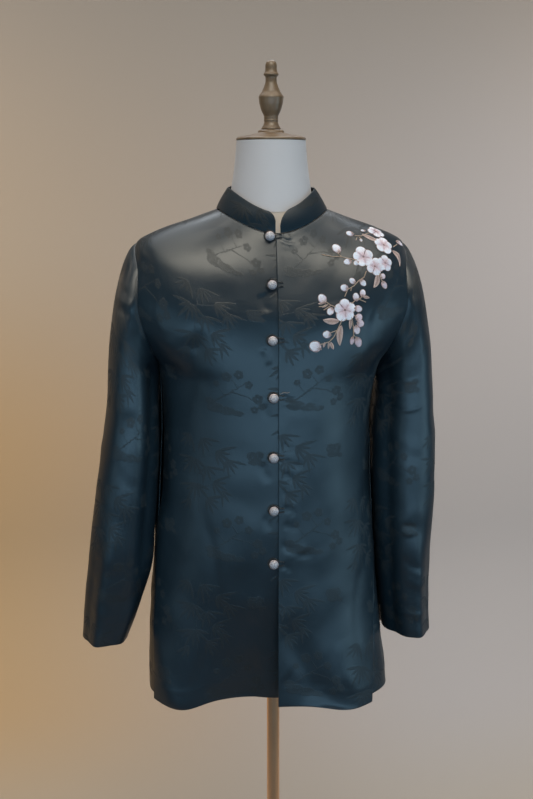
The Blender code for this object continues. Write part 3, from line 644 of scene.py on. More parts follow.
formNames = ("frontZ", "sideZ", "backZ", "half", "middle", "front", "back", "fullness")
formNeck = np.array([
    (1556.5, 1556.5, 1556.5, 54.5, 0, 54.5, 54.5, 2.0), (1520, 1522, 1524, 57.5, 0, 57, 58, 2.0),
    (1480, 1486, 1492, 62.5, 0, 60.5, 63, 2.0), (1450, 1467, 1478, 65.5, 0, 64, 67, 2.0),
    (1430, 1452, 1465, 70, 0, 67.5, 71, 2.0)], dtype=float)
formBody = np.array([
    (1315, 1383, 1366, 203, 2, 105, 111, 2.6), (1275, 1330, 1315, 199, 1, 112, 111, 2.7),
    (1235, 1275, 1262, 187, 0, 116, 108, 2.6), (1190, 1215, 1206, 168, 0, 117, 104, 2.4),
    (1130, 1140, 1136, 154, 2, 112, 99, 2.3), (1040, 1040, 1040, 145, 2, 100, 94, 2.2),
    (950, 950, 950, 152, 2, 96, 98, 2.2), (870, 870, 870, 160, 2, 92, 101, 2.3),
    (805, 805, 805, 158, 2, 88, 99, 2.3), (800, 800, 800, 154, 2, 84, 95, 2.3)], dtype=float)
formCut = {
    "columns": 120, "neckRows": 25, "bodyRows": 46, "inset": 2.7,
    "shoulderRows": (0.02, 0.3, 0.6, 0.9, 1.2, 1.5, 1.8, 2.05, 2.3, 2.5, 2.7),
    "seamFront": 1446.0, "seamSlope": 0.42, "seamRadius": 0.55,
}


def formRings(own):
    columns = own["columns"]
    turn = np.linspace(0.0, 2 * math.pi, columns + 1)[:-1]

    def plain(table, steps):
        part = columnsOf(formNames, table, np.linspace(0, len(table) - 1, steps))
        return list(ringPoints(part, part["half"], part["front"], 1.0, turn[None, :]))

    rows = np.array(own["shoulderRows"])
    spread = np.concatenate([rows - 0.05, rows + 0.05])
    halfTurn = np.linspace(0.0, math.pi, columns // 2 + 1)[None, :]
    halves = {}
    for side in (-1, 1):
        near, middle = (ringPoints(ring, sideOf(ring, side)[0], ring["frontRight"], side, halfTurn)
                        for ring in (columnsOf(ringNames, rings, spread), columnsOf(ringNames, rings, rows)))
        normal = np.cross(np.gradient(middle, axis=1), near[len(rows):] - near[:len(rows)])
        normal /= np.linalg.norm(normal, axis=-1, keepdims=True)
        normal *= np.where(normal[..., 2:3] < 0, -1.0, 1.0)
        halves[side] = middle - normal * own["inset"]
    shoulders = [np.concatenate([halves[1][i], halves[-1][i][::-1][1:-1]]) for i in range(len(rows))]
    return np.array(plain(formNeck, own["neckRows"]) + shoulders + plain(formBody, own["bodyRows"]))


def closedSkin(name, ringsOfPoints):  # one closed skin through rings, with flat ends
    count, columns = ringsOfPoints.shape[:2]
    wide = np.concatenate([ringsOfPoints, ringsOfPoints[:, :1]], axis=1)
    points = wide.reshape(-1, 3)
    ends = np.array([ringsOfPoints[0].mean(axis=0), ringsOfPoints[-1].mean(axis=0)])
    faces = gridFaces(count, columns + 1).tolist()
    last = (count - 1) * (columns + 1)
    for j in range(columns):
        faces.append([len(points), j + 1, j])
        faces.append([len(points) + 1, last + j, last + j + 1])
    mesh = bpy.data.meshes.new(name)
    mesh.from_pydata((np.concatenate([points, ends]) + (shirtAxisX, 0, 0)) * mm, [], faces)
    mergeDoubles(mesh)
    faceOutwards(mesh)
    mesh.polygons.foreach_set("use_smooth", np.ones(len(mesh.polygons), dtype=bool))
    mesh.set_sharp_from_angle(angle=math.radians(50))
    return linkObject(name, mesh)


formSkin = closedSkin("formSkin", formRings(formCut))


def tubeAlong(points, radius, sides=8, closed=False):  # rings of a round tube along points in mm
    points = np.asarray(points, dtype=float)
    ahead = np.roll(points, -1, axis=0) - np.roll(points, 1, axis=0)
    if not closed:
        ahead[0], ahead[-1] = points[1] - points[0], points[-1] - points[-2]
    ahead /= np.linalg.norm(ahead, axis=1, keepdims=True)
    aside = np.cross(ahead, np.where(np.abs(ahead[:, 2:3]) > 0.9, (1.0, 0.0, 0.0), (0.0, 0.0, 1.0)))
    aside /= np.linalg.norm(aside, axis=1, keepdims=True)
    above = np.cross(aside, ahead)
    turn = np.linspace(0, 2 * math.pi, sides + 1)[None, :, None]
    tube = points[:, None] + radius * (aside[:, None] * np.cos(turn) + above[:, None] * np.sin(turn))
    if closed:
        tube = np.concatenate([tube, tube[:1]])
    return tube


def seamRing(own):  # the ridge where the neck's cover meets the body's
    neckSkin = formRings(own)[:own["neckRows"]]
    line = []
    for column in range(neckSkin.shape[1]):
        run = neckSkin[::-1, column]
        goal = own["seamFront"] + own["seamSlope"] * (run[:, 1] + 65)
        line.append([np.interp(0, run[:, 2] - goal, run[:, k]) for k in range(3)])
    tube = tubeAlong(np.array(line) * (1.003, 1.003, 1.0), own["seamRadius"], 8, closed=True)
    mesh = meshOf("formSeam", tube.reshape(-1, 3), gridFaces(*tube.shape[:2]))
    mergeDoubles(mesh)
    return linkObject("formSeam", mesh)


formSeam = seamRing(formCut)
print("form: skin and neck seam")


# Turned pieces: each profile is radius and height in mm, top to bottom

capBottom, capHeight = 1556.8, 16.5
turnedPieces = {
    "neckCapTurned": {
        "node": "neck_cap", "axis": shirtAxisX, "bottom": capBottom, "steps": 128, "round": 2,
        "profile": ((0, 16.5), (17, 16.5), (20.5, 15), (21, 11.2), (27, 10.4), (32.5, 8.6), (42, 7.2),
                    (50, 5.6), (54.5, 4.0), (55.3, 1.6), (54.6, 0), (0, 0))},
    "finialTurned": {
        "node": "finial", "axis": shirtAxisX, "bottom": capBottom + capHeight + 0.3, "steps": 96, "round": 2,
        "profile": ((0, 107), (4.6, 106.4), (8.0, 103.4), (9.3, 98.2), (8.9, 93.5), (9.8, 88.5),
                    (12.1, 85.4), (11.6, 83.2), (8.8, 81.2), (8.9, 73), (11.2, 66), (14.6, 58),
                    (19.4, 51.5), (19.9, 49.4), (19.3, 47.4), (18.6, 40), (15.4, 29), (11.0, 20.4),
                    (11.5, 18.2), (10.7, 16.2), (11.6, 14), (10.6, 11.6), (12.4, 6.2), (15.6, 1.6),
                    (15.4, 0), (0, 0))},
    "poleTube": {
        "node": "pole", "axis": 0.0, "bottom": 30.3, "steps": 96, "round": 0,
        "profile": ((0, 769.4), (31.4, 769.4), (32, 768.8), (32, 764), (31.4, 763.4), (11.4, 763.4),
                    (10.6, 762.6), (10.6, 0), (0, 0))},
    "footPlate": {
        "node": "base", "axis": 0.0, "bottom": 0.0, "steps": 160, "round": 1,
        "profile": ((0, 30), (20, 30), (23.5, 27.5), (26, 17), (34, 13), (190, 8), (198, 6.5), (200, 4),
                    (200, 0), (0, 0))},
}


def rounded(profile, passes):  # cuts the corners of a profile a little, its ends on the axis kept
    line = np.array(profile, dtype=float)
    for _ in range(passes):
        inner = [line[0]]
        for a, b in zip(line[:-1], line[1:]):
            reach = min(0.25, 1.2 / max(np.linalg.norm(b - a), 1e-6))
            inner += [a + (b - a) * reach, b - (b - a) * reach]
        line = np.array(inner + [line[-1]])
        line[:2, 0] = [0, line[1, 0]]
    return line


def turnedPiece(name, own):
    line = rounded(own["profile"], own["round"])
    angle = np.linspace(0, 2 * math.pi, own["steps"] + 1)
    points = np.stack([line[:, 0, None] * np.cos(angle), line[:, 0, None] * np.sin(angle),
                       line[:, 1, None] + own["bottom"] + 0 * angle], axis=-1)
    points[..., 0] += own["axis"] - shirtAxisX
    mesh = meshOf(name, points.reshape(-1, 3), gridFaces(*points.shape[:2]))
    mergeDoubles(mesh, 5e-6)
    faceOutwards(mesh)
    mesh.set_sharp_from_angle(angle=math.radians(32))
    return linkObject(name, mesh)


turnedObjects = {name: turnedPiece(name, own) for name, own in turnedPieces.items()}
print("turned:", ", ".join(turnedObjects))


# Ball buttons and their cord loops

buttonPlan = {
    "places": ((-11, 1410), (-10, 1337), (-11, 1253), (-9.5, 1165), (-9.5, 1072), (-9, 989), (-9, 904)),
    "radius": 7.2, "standOff": 1.2, "faceFrom": 0.6, "faceDepth": 0.82, "rimRadius": 6.75, "rimThick": 0.5,
    "rimForward": 2.0, "cordOff": 1.1, "cordRadius": 1.1, "loopRadius": 8.3, "loopTail": 9.0,
    "loopHalfWidth": 2.6, "loopClimb": 3.2,
}


def frontLine(side, x):
    rows = np.linspace(0.0, shirtCut["lastRow"], 600)
    line = shirtPoints(rows, side, turnAt(rows, side, x))[:, 0]
    order = np.argsort(line[:, 2])
    return line[order, 2], line[order, 1]


def frontY(side, x, z):
    return float(np.interp(z, *frontLine(side, x)))


def frontLean(z):  # cosine of the front's slope from upright
    z = min(z, rings[0][0] - 10)
    rise = (frontY(-1, -8, z - 8) - frontY(-1, -8, z + 8)) / 16
    return 1 / math.sqrt(1 + rise * rise)


def ballButton(number, x, z, own):
    radius = own["radius"]
    y = frontY(-1, x, z) - (own["standOff"] + radius) / frontLean(z)
    face = -own["faceFrom"] * radius * mm
    work = bmesh.new()
    bmesh.ops.create_uvsphere(work, u_segments=40, v_segments=26, radius=radius * mm)
    for vert in work.verts:  # poles to the front and back, with the face a little flatter
        vert.co = Vector((vert.co.x, -vert.co.z, vert.co.y))
        if vert.co.y < face:
            vert.co.y = face + (vert.co.y - face) * own["faceDepth"]
    mesh = bpy.data.meshes.new(f"ballButton{number}")
    work.to_mesh(mesh)
    work.free()
    angle = np.linspace(0, 2 * math.pi, 49)[:-1]
    rim = own["rimRadius"]
    ring = np.stack([rim * np.cos(angle), -own["rimForward"] + 0 * angle, rim * np.sin(angle)], axis=-1)
    tube = tubeAlong(ring, own["rimThick"], 8, closed=True)
    count, bare = len(mesh.vertices), len(mesh.polygons)
    verts = [tuple(vert.co) for vert in mesh.vertices] + [tuple(p * mm) for p in tube.reshape(-1, 3)]
    verts = [(px + (x + shirtAxisX) * mm, py + y * mm, pz + z * mm) for px, py, pz in verts]
    faces = [tuple(part.vertices) for part in mesh.polygons]
    faces += [tuple(int(i) + count for i in part) for part in gridFaces(*tube.shape[:2])]
    mesh = bpy.data.meshes.new(f"ballButton{number}")
    mesh.from_pydata(verts, [], faces)
    finish = np.array([0] * bare + [1] * (len(faces) - bare), dtype=np.int32)
    mesh.polygons.foreach_set("material_index", finish)
    mesh.polygons.foreach_set("use_smooth", np.ones(len(faces), dtype=bool))
    mergeDoubles(mesh)
    faceOutwards(mesh)
    return linkObject(f"ballButton{number}", mesh)


def loopPath(x, z, own):
    angle = np.radians(np.linspace(30, 330, 31))
    tail = shirtCut["overEdge"] + own["loopTail"]
    line = [(tail, z + own["loopHalfWidth"]), (tail - 4, z + own["loopHalfWidth"] + 0.4)]
    line += [(x + own["loopRadius"] * math.cos(a), z + own["loopRadius"] * math.sin(a)) for a in angle]
    line += [(tail - 4, z - own["loopHalfWidth"] - 0.4), (tail, z - own["loopHalfWidth"])]
    path = []
    for px, pz in line:
        climb = eased((px - (shirtCut["overEdge"] - own["loopClimb"] - 1.5)) / 2.4)
        low, high = frontY(-1, px, pz), frontY(1, px, pz)
        out = (own["cordOff"] + own["cordRadius"]) / frontLean(pz)
        path.append((px, low + (high - low) * climb - out, pz))
    return path


def newTree(name, inputs):  # a Geometry Nodes group with named inputs: name, kind, value
    tree = bpy.data.node_groups.new(name, "GeometryNodeTree")
    tree.interface.new_socket(name="Geometry", in_out="INPUT", socket_type="NodeSocketGeometry")
    for label, kind, value in inputs:
        socket = tree.interface.new_socket(name=label, in_out="INPUT", socket_type="NodeSocket" + kind)
        if value is not None:
            socket.default_value = value
    tree.interface.new_socket(name="Geometry", in_out="OUTPUT", socket_type="NodeSocketGeometry")
    return tree, tree.nodes.new("NodeGroupInput"), tree.nodes.new("NodeGroupOutput")


def addNode(tree, kind, links=(), **settings):  # links: (input, socket or value)
    node = tree.nodes.new(kind)
    for key, value in settings.items():
        setattr(node, key, value)
    for slot, value in dict(links).items():
        if isinstance(value, bpy.types.NodeSocket):
            tree.links.new(value, node.inputs[slot])
        else:
            node.inputs[slot].default_value = value
    return node


def finishedTree(tree, mesh, material, end):  # smooth faces, no instances, its material
    smooth = addNode(tree, "GeometryNodeSetShadeSmooth", {"Geometry": mesh.outputs[0]})
    real = addNode(tree, "GeometryNodeRealizeInstances", {"Geometry": smooth.outputs[0]})
    done = addNode(tree, "GeometryNodeSetMaterial", {"Geometry": real.outputs[0], "Material": material})
    tree.links.new(done.outputs[0], end.inputs["Geometry"])
    return tree


def calc(operation, *values, clamp=False):  # a Math node after the sockets it is given
    tree = next(value.id_data for value in values if isinstance(value, bpy.types.NodeSocket))
    node = addNode(tree, "ShaderNodeMath", dict(enumerate(values)), operation=operation, use_clamp=clamp)
    return node.outputs[0]


def plus(*values, clamp=False):
    return calc("ADD", *values, clamp=clamp)


def minus(*values, clamp=False):
    return calc("SUBTRACT", *values, clamp=clamp)


def times(*values, clamp=False):
    return calc("MULTIPLY", *values, clamp=clamp)


def divided(*values, clamp=False):
    return calc("DIVIDE", *values, clamp=clamp)


cordPlan = {"strand": 0.56, "apart": 0.46, "step": 0.0006, "pitch": 0.0052, "sides": 8}


def twistTree(own):  # plies a path into a cord: strands lie round it and turn along it
    tree, start, end = newTree("twistedCord", (("Cord Radius", "Float", 0.001), ("Pitch", "Float", 0.006),
                                               ("Sides", "Int", 8), ("Material", "Material", None)))
    given = start.outputs
    strand, offset = (times(given["Cord Radius"], own[key]) for key in ("strand", "apart"))
    circle = addNode(tree, "GeometryNodeCurvePrimitiveCircle", {
        "Resolution": given["Sides"], "Radius": strand})
    strands = addNode(tree, "GeometryNodeJoinGeometry")
    for way in (1.0, -1.0):
        place = addNode(tree, "ShaderNodeCombineXYZ", {"X": times(offset, way)})
        shifted = addNode(tree, "GeometryNodeTransform", {
            "Geometry": circle.outputs["Curve"], "Translation": place.outputs[0]})
        tree.links.new(shifted.outputs[0], strands.inputs[0])
    line = addNode(tree, "GeometryNodeResampleCurve", {
        "Curve": given["Geometry"], "Length": own["step"]}, mode="LENGTH")
    along = addNode(tree, "GeometryNodeSplineParameter")
    angle = times(divided(along.outputs["Length"], given["Pitch"]), 2 * math.pi)
    tilted = addNode(tree, "GeometryNodeSetCurveTilt", {"Curve": line.outputs[0], "Tilt": angle})
    mesh = addNode(tree, "GeometryNodeCurveToMesh", {
        "Curve": tilted.outputs[0], "Profile Curve": strands.outputs[0], "Fill Caps": True})
    return finishedTree(tree, mesh, given["Material"], end)


def runTree(item, tree, values):  # gives the inputs by socket, then makes the result a plain mesh
    step = item.modifiers.new(tree.name, "NODES")
    step.node_group = tree
    sockets = [socket for socket in tree.interface.items_tree if socket.in_out == "INPUT"]
    keys = {socket.name: socket.identifier for socket in sockets}
    for name, value in values.items():
        step[keys[name]] = value
    bpy.context.view_layer.update()
    mesh = bpy.data.meshes.new_from_object(item.evaluated_get(bpy.context.evaluated_depsgraph_get()))
    mesh.name = item.name
    name = item.name
    bpy.data.objects.remove(item, do_unlink=True)
    return linkObject(name, mesh)


def pathObject(name, path):
    curve = bpy.data.curves.new(name, "CURVE")
    curve.dimensions = "3D"
    spline = curve.splines.new("POLY")
    spline.points.add(len(path) - 1)
    for point, place in zip(spline.points, path):
        point.co = ((place[0] + shirtAxisX) * mm, place[1] * mm, place[2] * mm, 1.0)
    return linkObject(name, curve)


# Shader groups: they put out masks, values and heights only

def newGroup(name, inputs, outputs):  # inputs: name and default, None for a vector
    tree = bpy.data.node_groups.new(name, "ShaderNodeTree")
    for label, value in inputs.items():
        kind = "NodeSocketVector" if value is None else "NodeSocketFloat"
        socket = tree.interface.new_socket(name=label, in_out="INPUT", socket_type=kind)
        if value is not None:
            socket.default_value = value
    for label in outputs:
        tree.interface.new_socket(name=label, in_out="OUTPUT", socket_type="NodeSocketFloat")
    return tree, tree.nodes.new("NodeGroupInput").outputs, tree.nodes.new("NodeGroupOutput").inputs


def placed(tree, group, values):
    return addNode(tree, "ShaderNodeGroup", values, node_tree=group).outputs


def noiseAt(tree, place, scale, detail):
    node = addNode(tree, "ShaderNodeTexNoise", {"Vector": place, "Scale": scale, "Detail": detail})
    return node.outputs["Fac"]


def spreadGroup():  # leaves or petals fanned round a point: pointed where Point is 1, round where it is 0.5
    tree, given, out = newGroup("spreadShapes", {
        "X": 0, "Y": 0, "Centre X": 0, "Centre Y": 0, "Heading": 0, "Each Side": 2, "Step": 0.4, "Length": 24,
        "Width": 4, "Start": 0, "Point": 1, "Uneven": 0.2}, ("Mask",))
    dx = minus(given["X"], given["Centre X"])
    dy = minus(given["Y"], given["Centre Y"])
    radius = calc("SQRT", plus(times(dx, dx), times(dy, dy)))
    angle = minus(calc("ARCTAN2", dy, dx), given["Heading"])
    angle = calc("WRAP", angle, math.pi, -math.pi)
    index = calc("ROUND", divided(angle, given["Step"]))
    index = calc("MINIMUM", index, given["Each Side"])
    index = calc("MAXIMUM", index, times(given["Each Side"], -1.0))
    off = minus(angle, times(index, given["Step"]))
    along = minus(times(radius, calc("COSINE", off)), given["Start"])
    aside = calc("ABSOLUTE", times(radius, calc("SINE", off)))
    wobble = times(calc("SINE", times(index, 2.3)), given["Uneven"])
    length = times(given["Length"], minus(1.0, wobble))
    part = divided(along, length, clamp=True)
    hump = times(times(part, minus(1.0, part)), 4.0)
    half = times(calc("POWER", hump, given["Point"]), times(given["Width"], 0.5))
    over = minus(half, aside)
    tree.links.new(times(over, 2.6, clamp=True), out["Mask"])
    return tree


def limbGroup():  # a straight twig between two points, a little thinner at its far end
    tree, given, out = newGroup("limbShape", {
        "X": 0, "Y": 0, "From X": 0, "From Y": 0, "Run X": 10, "Run Y": 10, "Thick": 1.5}, ("Mask",))
    dx = minus(given["X"], given["From X"])
    dy = minus(given["Y"], given["From Y"])
    dot = plus(times(dx, given["Run X"]), times(dy, given["Run Y"]))
    size = plus(times(given["Run X"], given["Run X"]), times(given["Run Y"], given["Run Y"]))
    part = divided(dot, size, clamp=True)
    ex = minus(dx, times(given["Run X"], part))
    ey = minus(dy, times(given["Run Y"], part))
    gap = calc("SQRT", plus(times(ex, ex), times(ey, ey)))
    thick = times(given["Thick"], minus(0.5, times(part, 0.2)))
    tree.links.new(times(minus(thick, gap), 2.6, clamp=True), out["Mask"])
    return tree


def lumpGroup():  # a soft round lump
    tree, given, out = newGroup("lumpShape", {
        "X": 0, "Y": 0, "Centre X": 0, "Centre Y": 0, "Half Width": 8, "Half Height": 6}, ("Mask",))
    dx = divided(minus(given["X"], given["Centre X"]), given["Half Width"])
    dy = divided(minus(given["Y"], given["Centre Y"]), given["Half Height"])
    far = calc("SQRT", plus(times(dx, dx), times(dy, dy)))
    over = times(minus(1.0, far), given["Half Height"])
    tree.links.new(times(over, 1.6, clamp=True), out["Mask"])
    return tree


# The woven pattern: one repeat, in mm from the middle of its plum tree, up is up.
weave = {"repeatAcross": 150.0, "repeatUp": 232.0, "left": -102.0, "bottom": -192.0}

# Bamboo leaves: x, y, heading in degrees, leaves each side of the middle one, step in degrees, length, width.
bambooSprays = (
    (-76, -70, -122, 2, 23, 25, 4.6), (-56, -74, -58, 2, 25, 25, 4.4), (-34, -94, -30, 2, 22, 29, 4.8),
    (-70, -106, -108, 3, 24, 29, 4.8), (-16, -106, -58, 2, 22, 27, 4.2), (-48, -118, -72, 2, 31, 24, 4.4),
    (-66, -146, -96, 3, 25, 28, 4.8), (-38, -142, -28, 2, 24, 27, 4.4), (-74, -170, -126, 1, 25, 22, 4.6),
    (-48, -168, -40, 2, 24, 25, 4.7), (-24, -154, -56, 1, 28, 24, 4.2),
)

# Blossoms: x, y, radius, turn in degrees.
wovenBlossoms = (
    (-15, 26, 8.2, 10), (4, 31, 7.4, 40), (19, 15, 6.6, 5), (33, -7, 8.0, 30), (40, -19, 6.4, 55),
    (28, -25, 6.2, 20), (-31, 13, 5.2, 50),
)

# Twigs: x and y of both ends, thickness.
wovenTwigs = (
    (-40, -20, -18, -5, 3.2), (-18, -5, 2, 9, 2.6), (2, 9, -7, 22, 1.8), (-6, 2, 18, -4, 2.0),
    (18, -4, 34, -16, 1.6), (2, 9, 20, 22, 1.4), (-18, -5, -30, 10, 1.4), (-61, -190, -64, -134, 1.5),
    (-64, -134, -58, -72, 1.3), (-62, -106, -30, -98, 1.0), (-63, -156, -38, -146, 1.0),
)

# Rocks and pine clumps: x, y, half-width, half-height.
wovenLumps = (
    (-33, -25, 15, 8), (-14, -29, 14, 7), (-42, -16, 8, 6), (3, -32, 10, 4.5), (24, -100, 9, 7),
    (35, -99, 8, 7), (29, -109, 12, 6), (41, -112, 5, 4),
)


def wovenGroup():
    spread, limb, lump = spreadGroup(), limbGroup(), lumpGroup()
    tree, given, out = newGroup("wovenSatin", {"Cut": None, "Shift Across": 0, "Shift Up": 0},
                                ("Motif", "Thread", "Cloud"))
    metres = addNode(tree, "ShaderNodeSeparateXYZ", {0: given["Cut"]})
    across = plus(times(metres.outputs["X"], 1000.0), given["Shift Across"])
    up = plus(times(metres.outputs["Y"], 1000.0), given["Shift Up"])
    across = minus(across, weave["left"])
    column = calc("FLOOR", divided(across, weave["repeatAcross"]))
    x = plus(minus(across, times(column, weave["repeatAcross"])), weave["left"])
    up = plus(up, times(column, weave["repeatUp"] / 2))
    y = calc("WRAP", up, weave["bottom"] + weave["repeatUp"], weave["bottom"])
    push = times(minus(noiseAt(tree, given["Cut"], 260.0, 2.0), 0.5), 5.0)
    masks = []
    for px, py, heading, each, step, length, width in bambooSprays:
        masks.append(placed(tree, spread, {
            "X": x, "Y": y, "Centre X": px, "Centre Y": py, "Heading": math.radians(heading),
            "Each Side": each, "Step": math.radians(step), "Length": length, "Width": width,
            "Start": 1.0, "Point": 0.8, "Uneven": 0.22})[0])
    for px, py, radius, turn in wovenBlossoms:
        masks.append(placed(tree, spread, {
            "X": x, "Y": y, "Centre X": px, "Centre Y": py, "Heading": math.radians(turn),
            "Each Side": 2.0, "Step": math.radians(72), "Length": radius * 0.86, "Width": radius * 0.92,
            "Start": radius * 0.16, "Point": 0.5, "Uneven": 0.04})[0])
    bentX, bentY = plus(x, push), minus(y, push)
    for ax, ay, bx, by, thick in wovenTwigs:
        masks.append(placed(tree, limb, {
            "X": bentX, "Y": bentY, "From X": ax, "From Y": ay, "Run X": bx - ax, "Run Y": by - ay,
            "Thick": thick})[0])
    rocks = []
    for px, py, halfWide, halfHigh in wovenLumps:
        rocks.append(placed(tree, lump, {
            "X": bentX, "Y": bentY, "Centre X": px, "Centre Y": py, "Half Width": halfWide,
            "Half Height": halfHigh})[0])
    rock = rocks[0]
    for other in rocks[1:]:
        rock = calc("MAXIMUM", rock, other)
    line = calc("ABSOLUTE", minus(noiseAt(tree, given["Cut"], 150.0, 1.0), 0.5))
    line = times(minus(line, 0.018), 60.0, clamp=True)
    motif = times(rock, plus(times(line, 0.6), 0.4))
    for other in masks:
        motif = calc("MAXIMUM", motif, other)
    tree.links.new(motif, out["Motif"])
    stretched = addNode(tree, "ShaderNodeMapping", {"Vector": given["Cut"], "Scale": (260.0, 2600.0, 1.0)})
    tree.links.new(noiseAt(tree, stretched.outputs[0], 1.0, 2.0), out["Thread"])
    tree.links.new(noiseAt(tree, given["Cut"], 22.0, 3.0), out["Cloud"])
    return tree


def newMaterial(name, constants):
    made = bpy.data.materials.new(name)
    made.use_nodes = True
    tree = made.node_tree
    shader = tree.nodes["Principled BSDF"]
    for key, value in constants.items():
        shader.inputs[key].default_value = value
    return made, tree, shader


def mixColour(tree, factor, first, second):
    node = addNode(tree, "ShaderNodeMix", data_type="RGBA")
    tree.links.new(factor, node.inputs["Factor"])
    for slot, value in ((6, first), (7, second)):
        if isinstance(value, bpy.types.NodeSocket):
            tree.links.new(value, node.inputs[slot])
        else:
            node.inputs[slot].default_value = (*value, 1.0)
    return node.outputs[2]


def blend(tree, factor, low, high):
    return addNode(tree, "ShaderNodeMapRange", {"Value": factor, "To Min": low, "To Max": high}).outputs[0]


def tint(tree, shader, colour, shade):
    toned = addNode(tree, "ShaderNodeVectorMath", {0: colour, 1: shade}, operation="MULTIPLY")
    tree.links.new(toned.outputs[0], shader.inputs["Base Color"])


def raised(tree, shader, high, strength):
    bump = addNode(tree, "ShaderNodeBump", {"Height": high, "Distance": 1.0, "Strength": strength})
    tree.links.new(bump.outputs[0], shader.inputs["Normal"])


satinLook = {
    "ground": (0.0045, 0.0155, 0.027), "motif": (0.0075, 0.0145, 0.021), "groundRough": 0.40,
    "motifRough": 0.56, "threadHeight": 0.00004, "motifHeight": 0.00008, "specular": 0.8,
    "collarSpecular": 0.4, "sheen": 0.0, "anisotropy": 0.7,
    "shift": {"frontRight": (66, 280), "frontLeft": (-58, 280), "back": (20, 200), "sleeveRight": (40, 90),
              "sleeveLeft": (-20, 140), "collar": (30, 60)},
}
wovenSatin = wovenGroup()


def satinMaterial(piece, own):
    made, tree, shader = newMaterial("satin_" + piece, {
        "Specular IOR Level": own["specular"], "Sheen Weight": own["sheen"],
        "Anisotropic": own["anisotropy"]})
    flat = addNode(tree, "ShaderNodeUVMap", uv_map="cut")
    if piece == "collar":  # cut across the other way of the weave, so it shines less
        shader.inputs["Specular IOR Level"].default_value = own["collarSpecular"]
    across, up = own["shift"][piece]
    woven = placed(tree, wovenSatin, {"Cut": flat.outputs["UV"], "Shift Across": across, "Shift Up": up})
    colour = mixColour(tree, woven["Motif"], own["ground"], own["motif"])
    shade = blend(tree, woven["Cloud"], 0.86, 1.14)
    tint(tree, shader, colour, shade)
    rough = blend(tree, woven["Motif"], own["groundRough"], own["motifRough"])
    rough = plus(rough, times(minus(woven["Cloud"], 0.5), 0.10))
    tree.links.new(rough, shader.inputs["Roughness"])
    high = plus(times(woven["Thread"], own["threadHeight"]), times(woven["Motif"], own["motifHeight"]))
    raised(tree, shader, high, 1.0)
    return made


def plainNoise(tree, scale, detail=3.0, stretch=(1, 1, 1)):
    place = addNode(tree, "ShaderNodeTexCoord")
    mapped = addNode(tree, "ShaderNodeMapping", {"Vector": place.outputs["Object"], "Scale": stretch})
    return noiseAt(tree, mapped.outputs[0], scale, detail)


def coverMaterial():  # stretch jersey: whiter on the neck, warmer below its seam
    made, tree, shader = newMaterial("formCover", {"Specular IOR Level": 0.3, "Sheen Weight": 0.2})
    place = addNode(tree, "ShaderNodeTexCoord")
    part = addNode(tree, "ShaderNodeSeparateXYZ", {0: place.outputs["Object"]})
    level = minus(part.outputs["Z"], (formCut["seamFront"] + formCut["seamSlope"] * 65) * mm)
    level = minus(level, times(part.outputs["Y"], formCut["seamSlope"]))
    neck = times(level, 2000.0, clamp=True)
    colour = mixColour(tree, neck, (0.53, 0.47, 0.42), (0.50, 0.50, 0.54))
    soft = blend(tree, plainNoise(tree, 14.0), 0.95, 1.05)
    tint(tree, shader, colour, soft)
    knit = plainNoise(tree, 1400.0, 1.0, (1, 1, 0.35))
    tree.links.new(blend(tree, knit, 0.6, 0.8), shader.inputs["Roughness"])
    high = times(knit, 0.00012)
    raised(tree, shader, high, 0.6)
    return made


def woodMaterial():  # stained and waxed, its grain and patches in darker and lighter browns
    made, tree, shader = newMaterial("turnedWood", {"Specular IOR Level": 0.5, "Coat Roughness": 0.22})
    grain = plainNoise(tree, 95.0, 5.0, (1, 1, 0.16))
    patch = plainNoise(tree, 26.0, 3.0)
    colour = mixColour(tree, grain, (0.06, 0.034, 0.018), (0.215, 0.145, 0.085))
    colour = mixColour(tree, times(minus(patch, 0.45), 2.2, clamp=True), colour, (0.20, 0.145, 0.095))
    tree.links.new(colour, shader.inputs["Base Color"])
    tree.links.new(blend(tree, grain, 0.5, 0.36), shader.inputs["Roughness"])
    tree.links.new(blend(tree, patch, 0.2, 0.5), shader.inputs["Coat Weight"])
    raised(tree, shader, times(grain, 0.0003), 0.5)
    return made


def metalMaterial(name, colour, rough, metallic, brushed):
    made, tree, shader = newMaterial(name, {"Metallic": metallic})
    streak = plainNoise(tree, 300.0, 3.0, brushed)
    dust = plainNoise(tree, 9.0, 4.0)
    tone = mixColour(tree, dust, tuple(c * 0.85 for c in colour), tuple(min(1.0, c * 1.12) for c in colour))
    tree.links.new(tone, shader.inputs["Base Color"])
    worn = plus(blend(tree, streak, rough * 0.8, rough * 1.25), blend(tree, dust, 0.0, 0.04))
    tree.links.new(worn, shader.inputs["Roughness"])
    raised(tree, shader, times(streak, 0.00002), 0.4)
    return made


def pearlMaterial():
    made, tree, shader = newMaterial("pearl", {
        "Coat Weight": 0.3, "Coat Roughness": 0.12, "Specular IOR Level": 0.6})
    place = addNode(tree, "ShaderNodeTexCoord")
    cells = addNode(tree, "ShaderNodeTexVoronoi", {"Vector": place.outputs["Object"], "Scale": 900.0})
    cracks = addNode(tree, "ShaderNodeTexVoronoi", {
        "Vector": place.outputs["Object"], "Scale": 520.0}, feature="DISTANCE_TO_EDGE")
    fleck = addNode(tree, "ShaderNodeSeparateColor", {0: cells.outputs["Color"]})
    colour = mixColour(tree, fleck.outputs[0], (0.42, 0.39, 0.44), (0.62, 0.64, 0.70))
    dark = times(cracks.outputs["Distance"], 9.0, clamp=True)
    colour = mixColour(tree, dark, (0.20, 0.18, 0.21), colour)
    tree.links.new(colour, shader.inputs["Base Color"])
    tree.links.new(blend(tree, fleck.outputs[1], 0.22, 0.5), shader.inputs["Roughness"])
    high = times(dark, 0.00018)
    raised(tree, shader, high, 0.7)
    return made


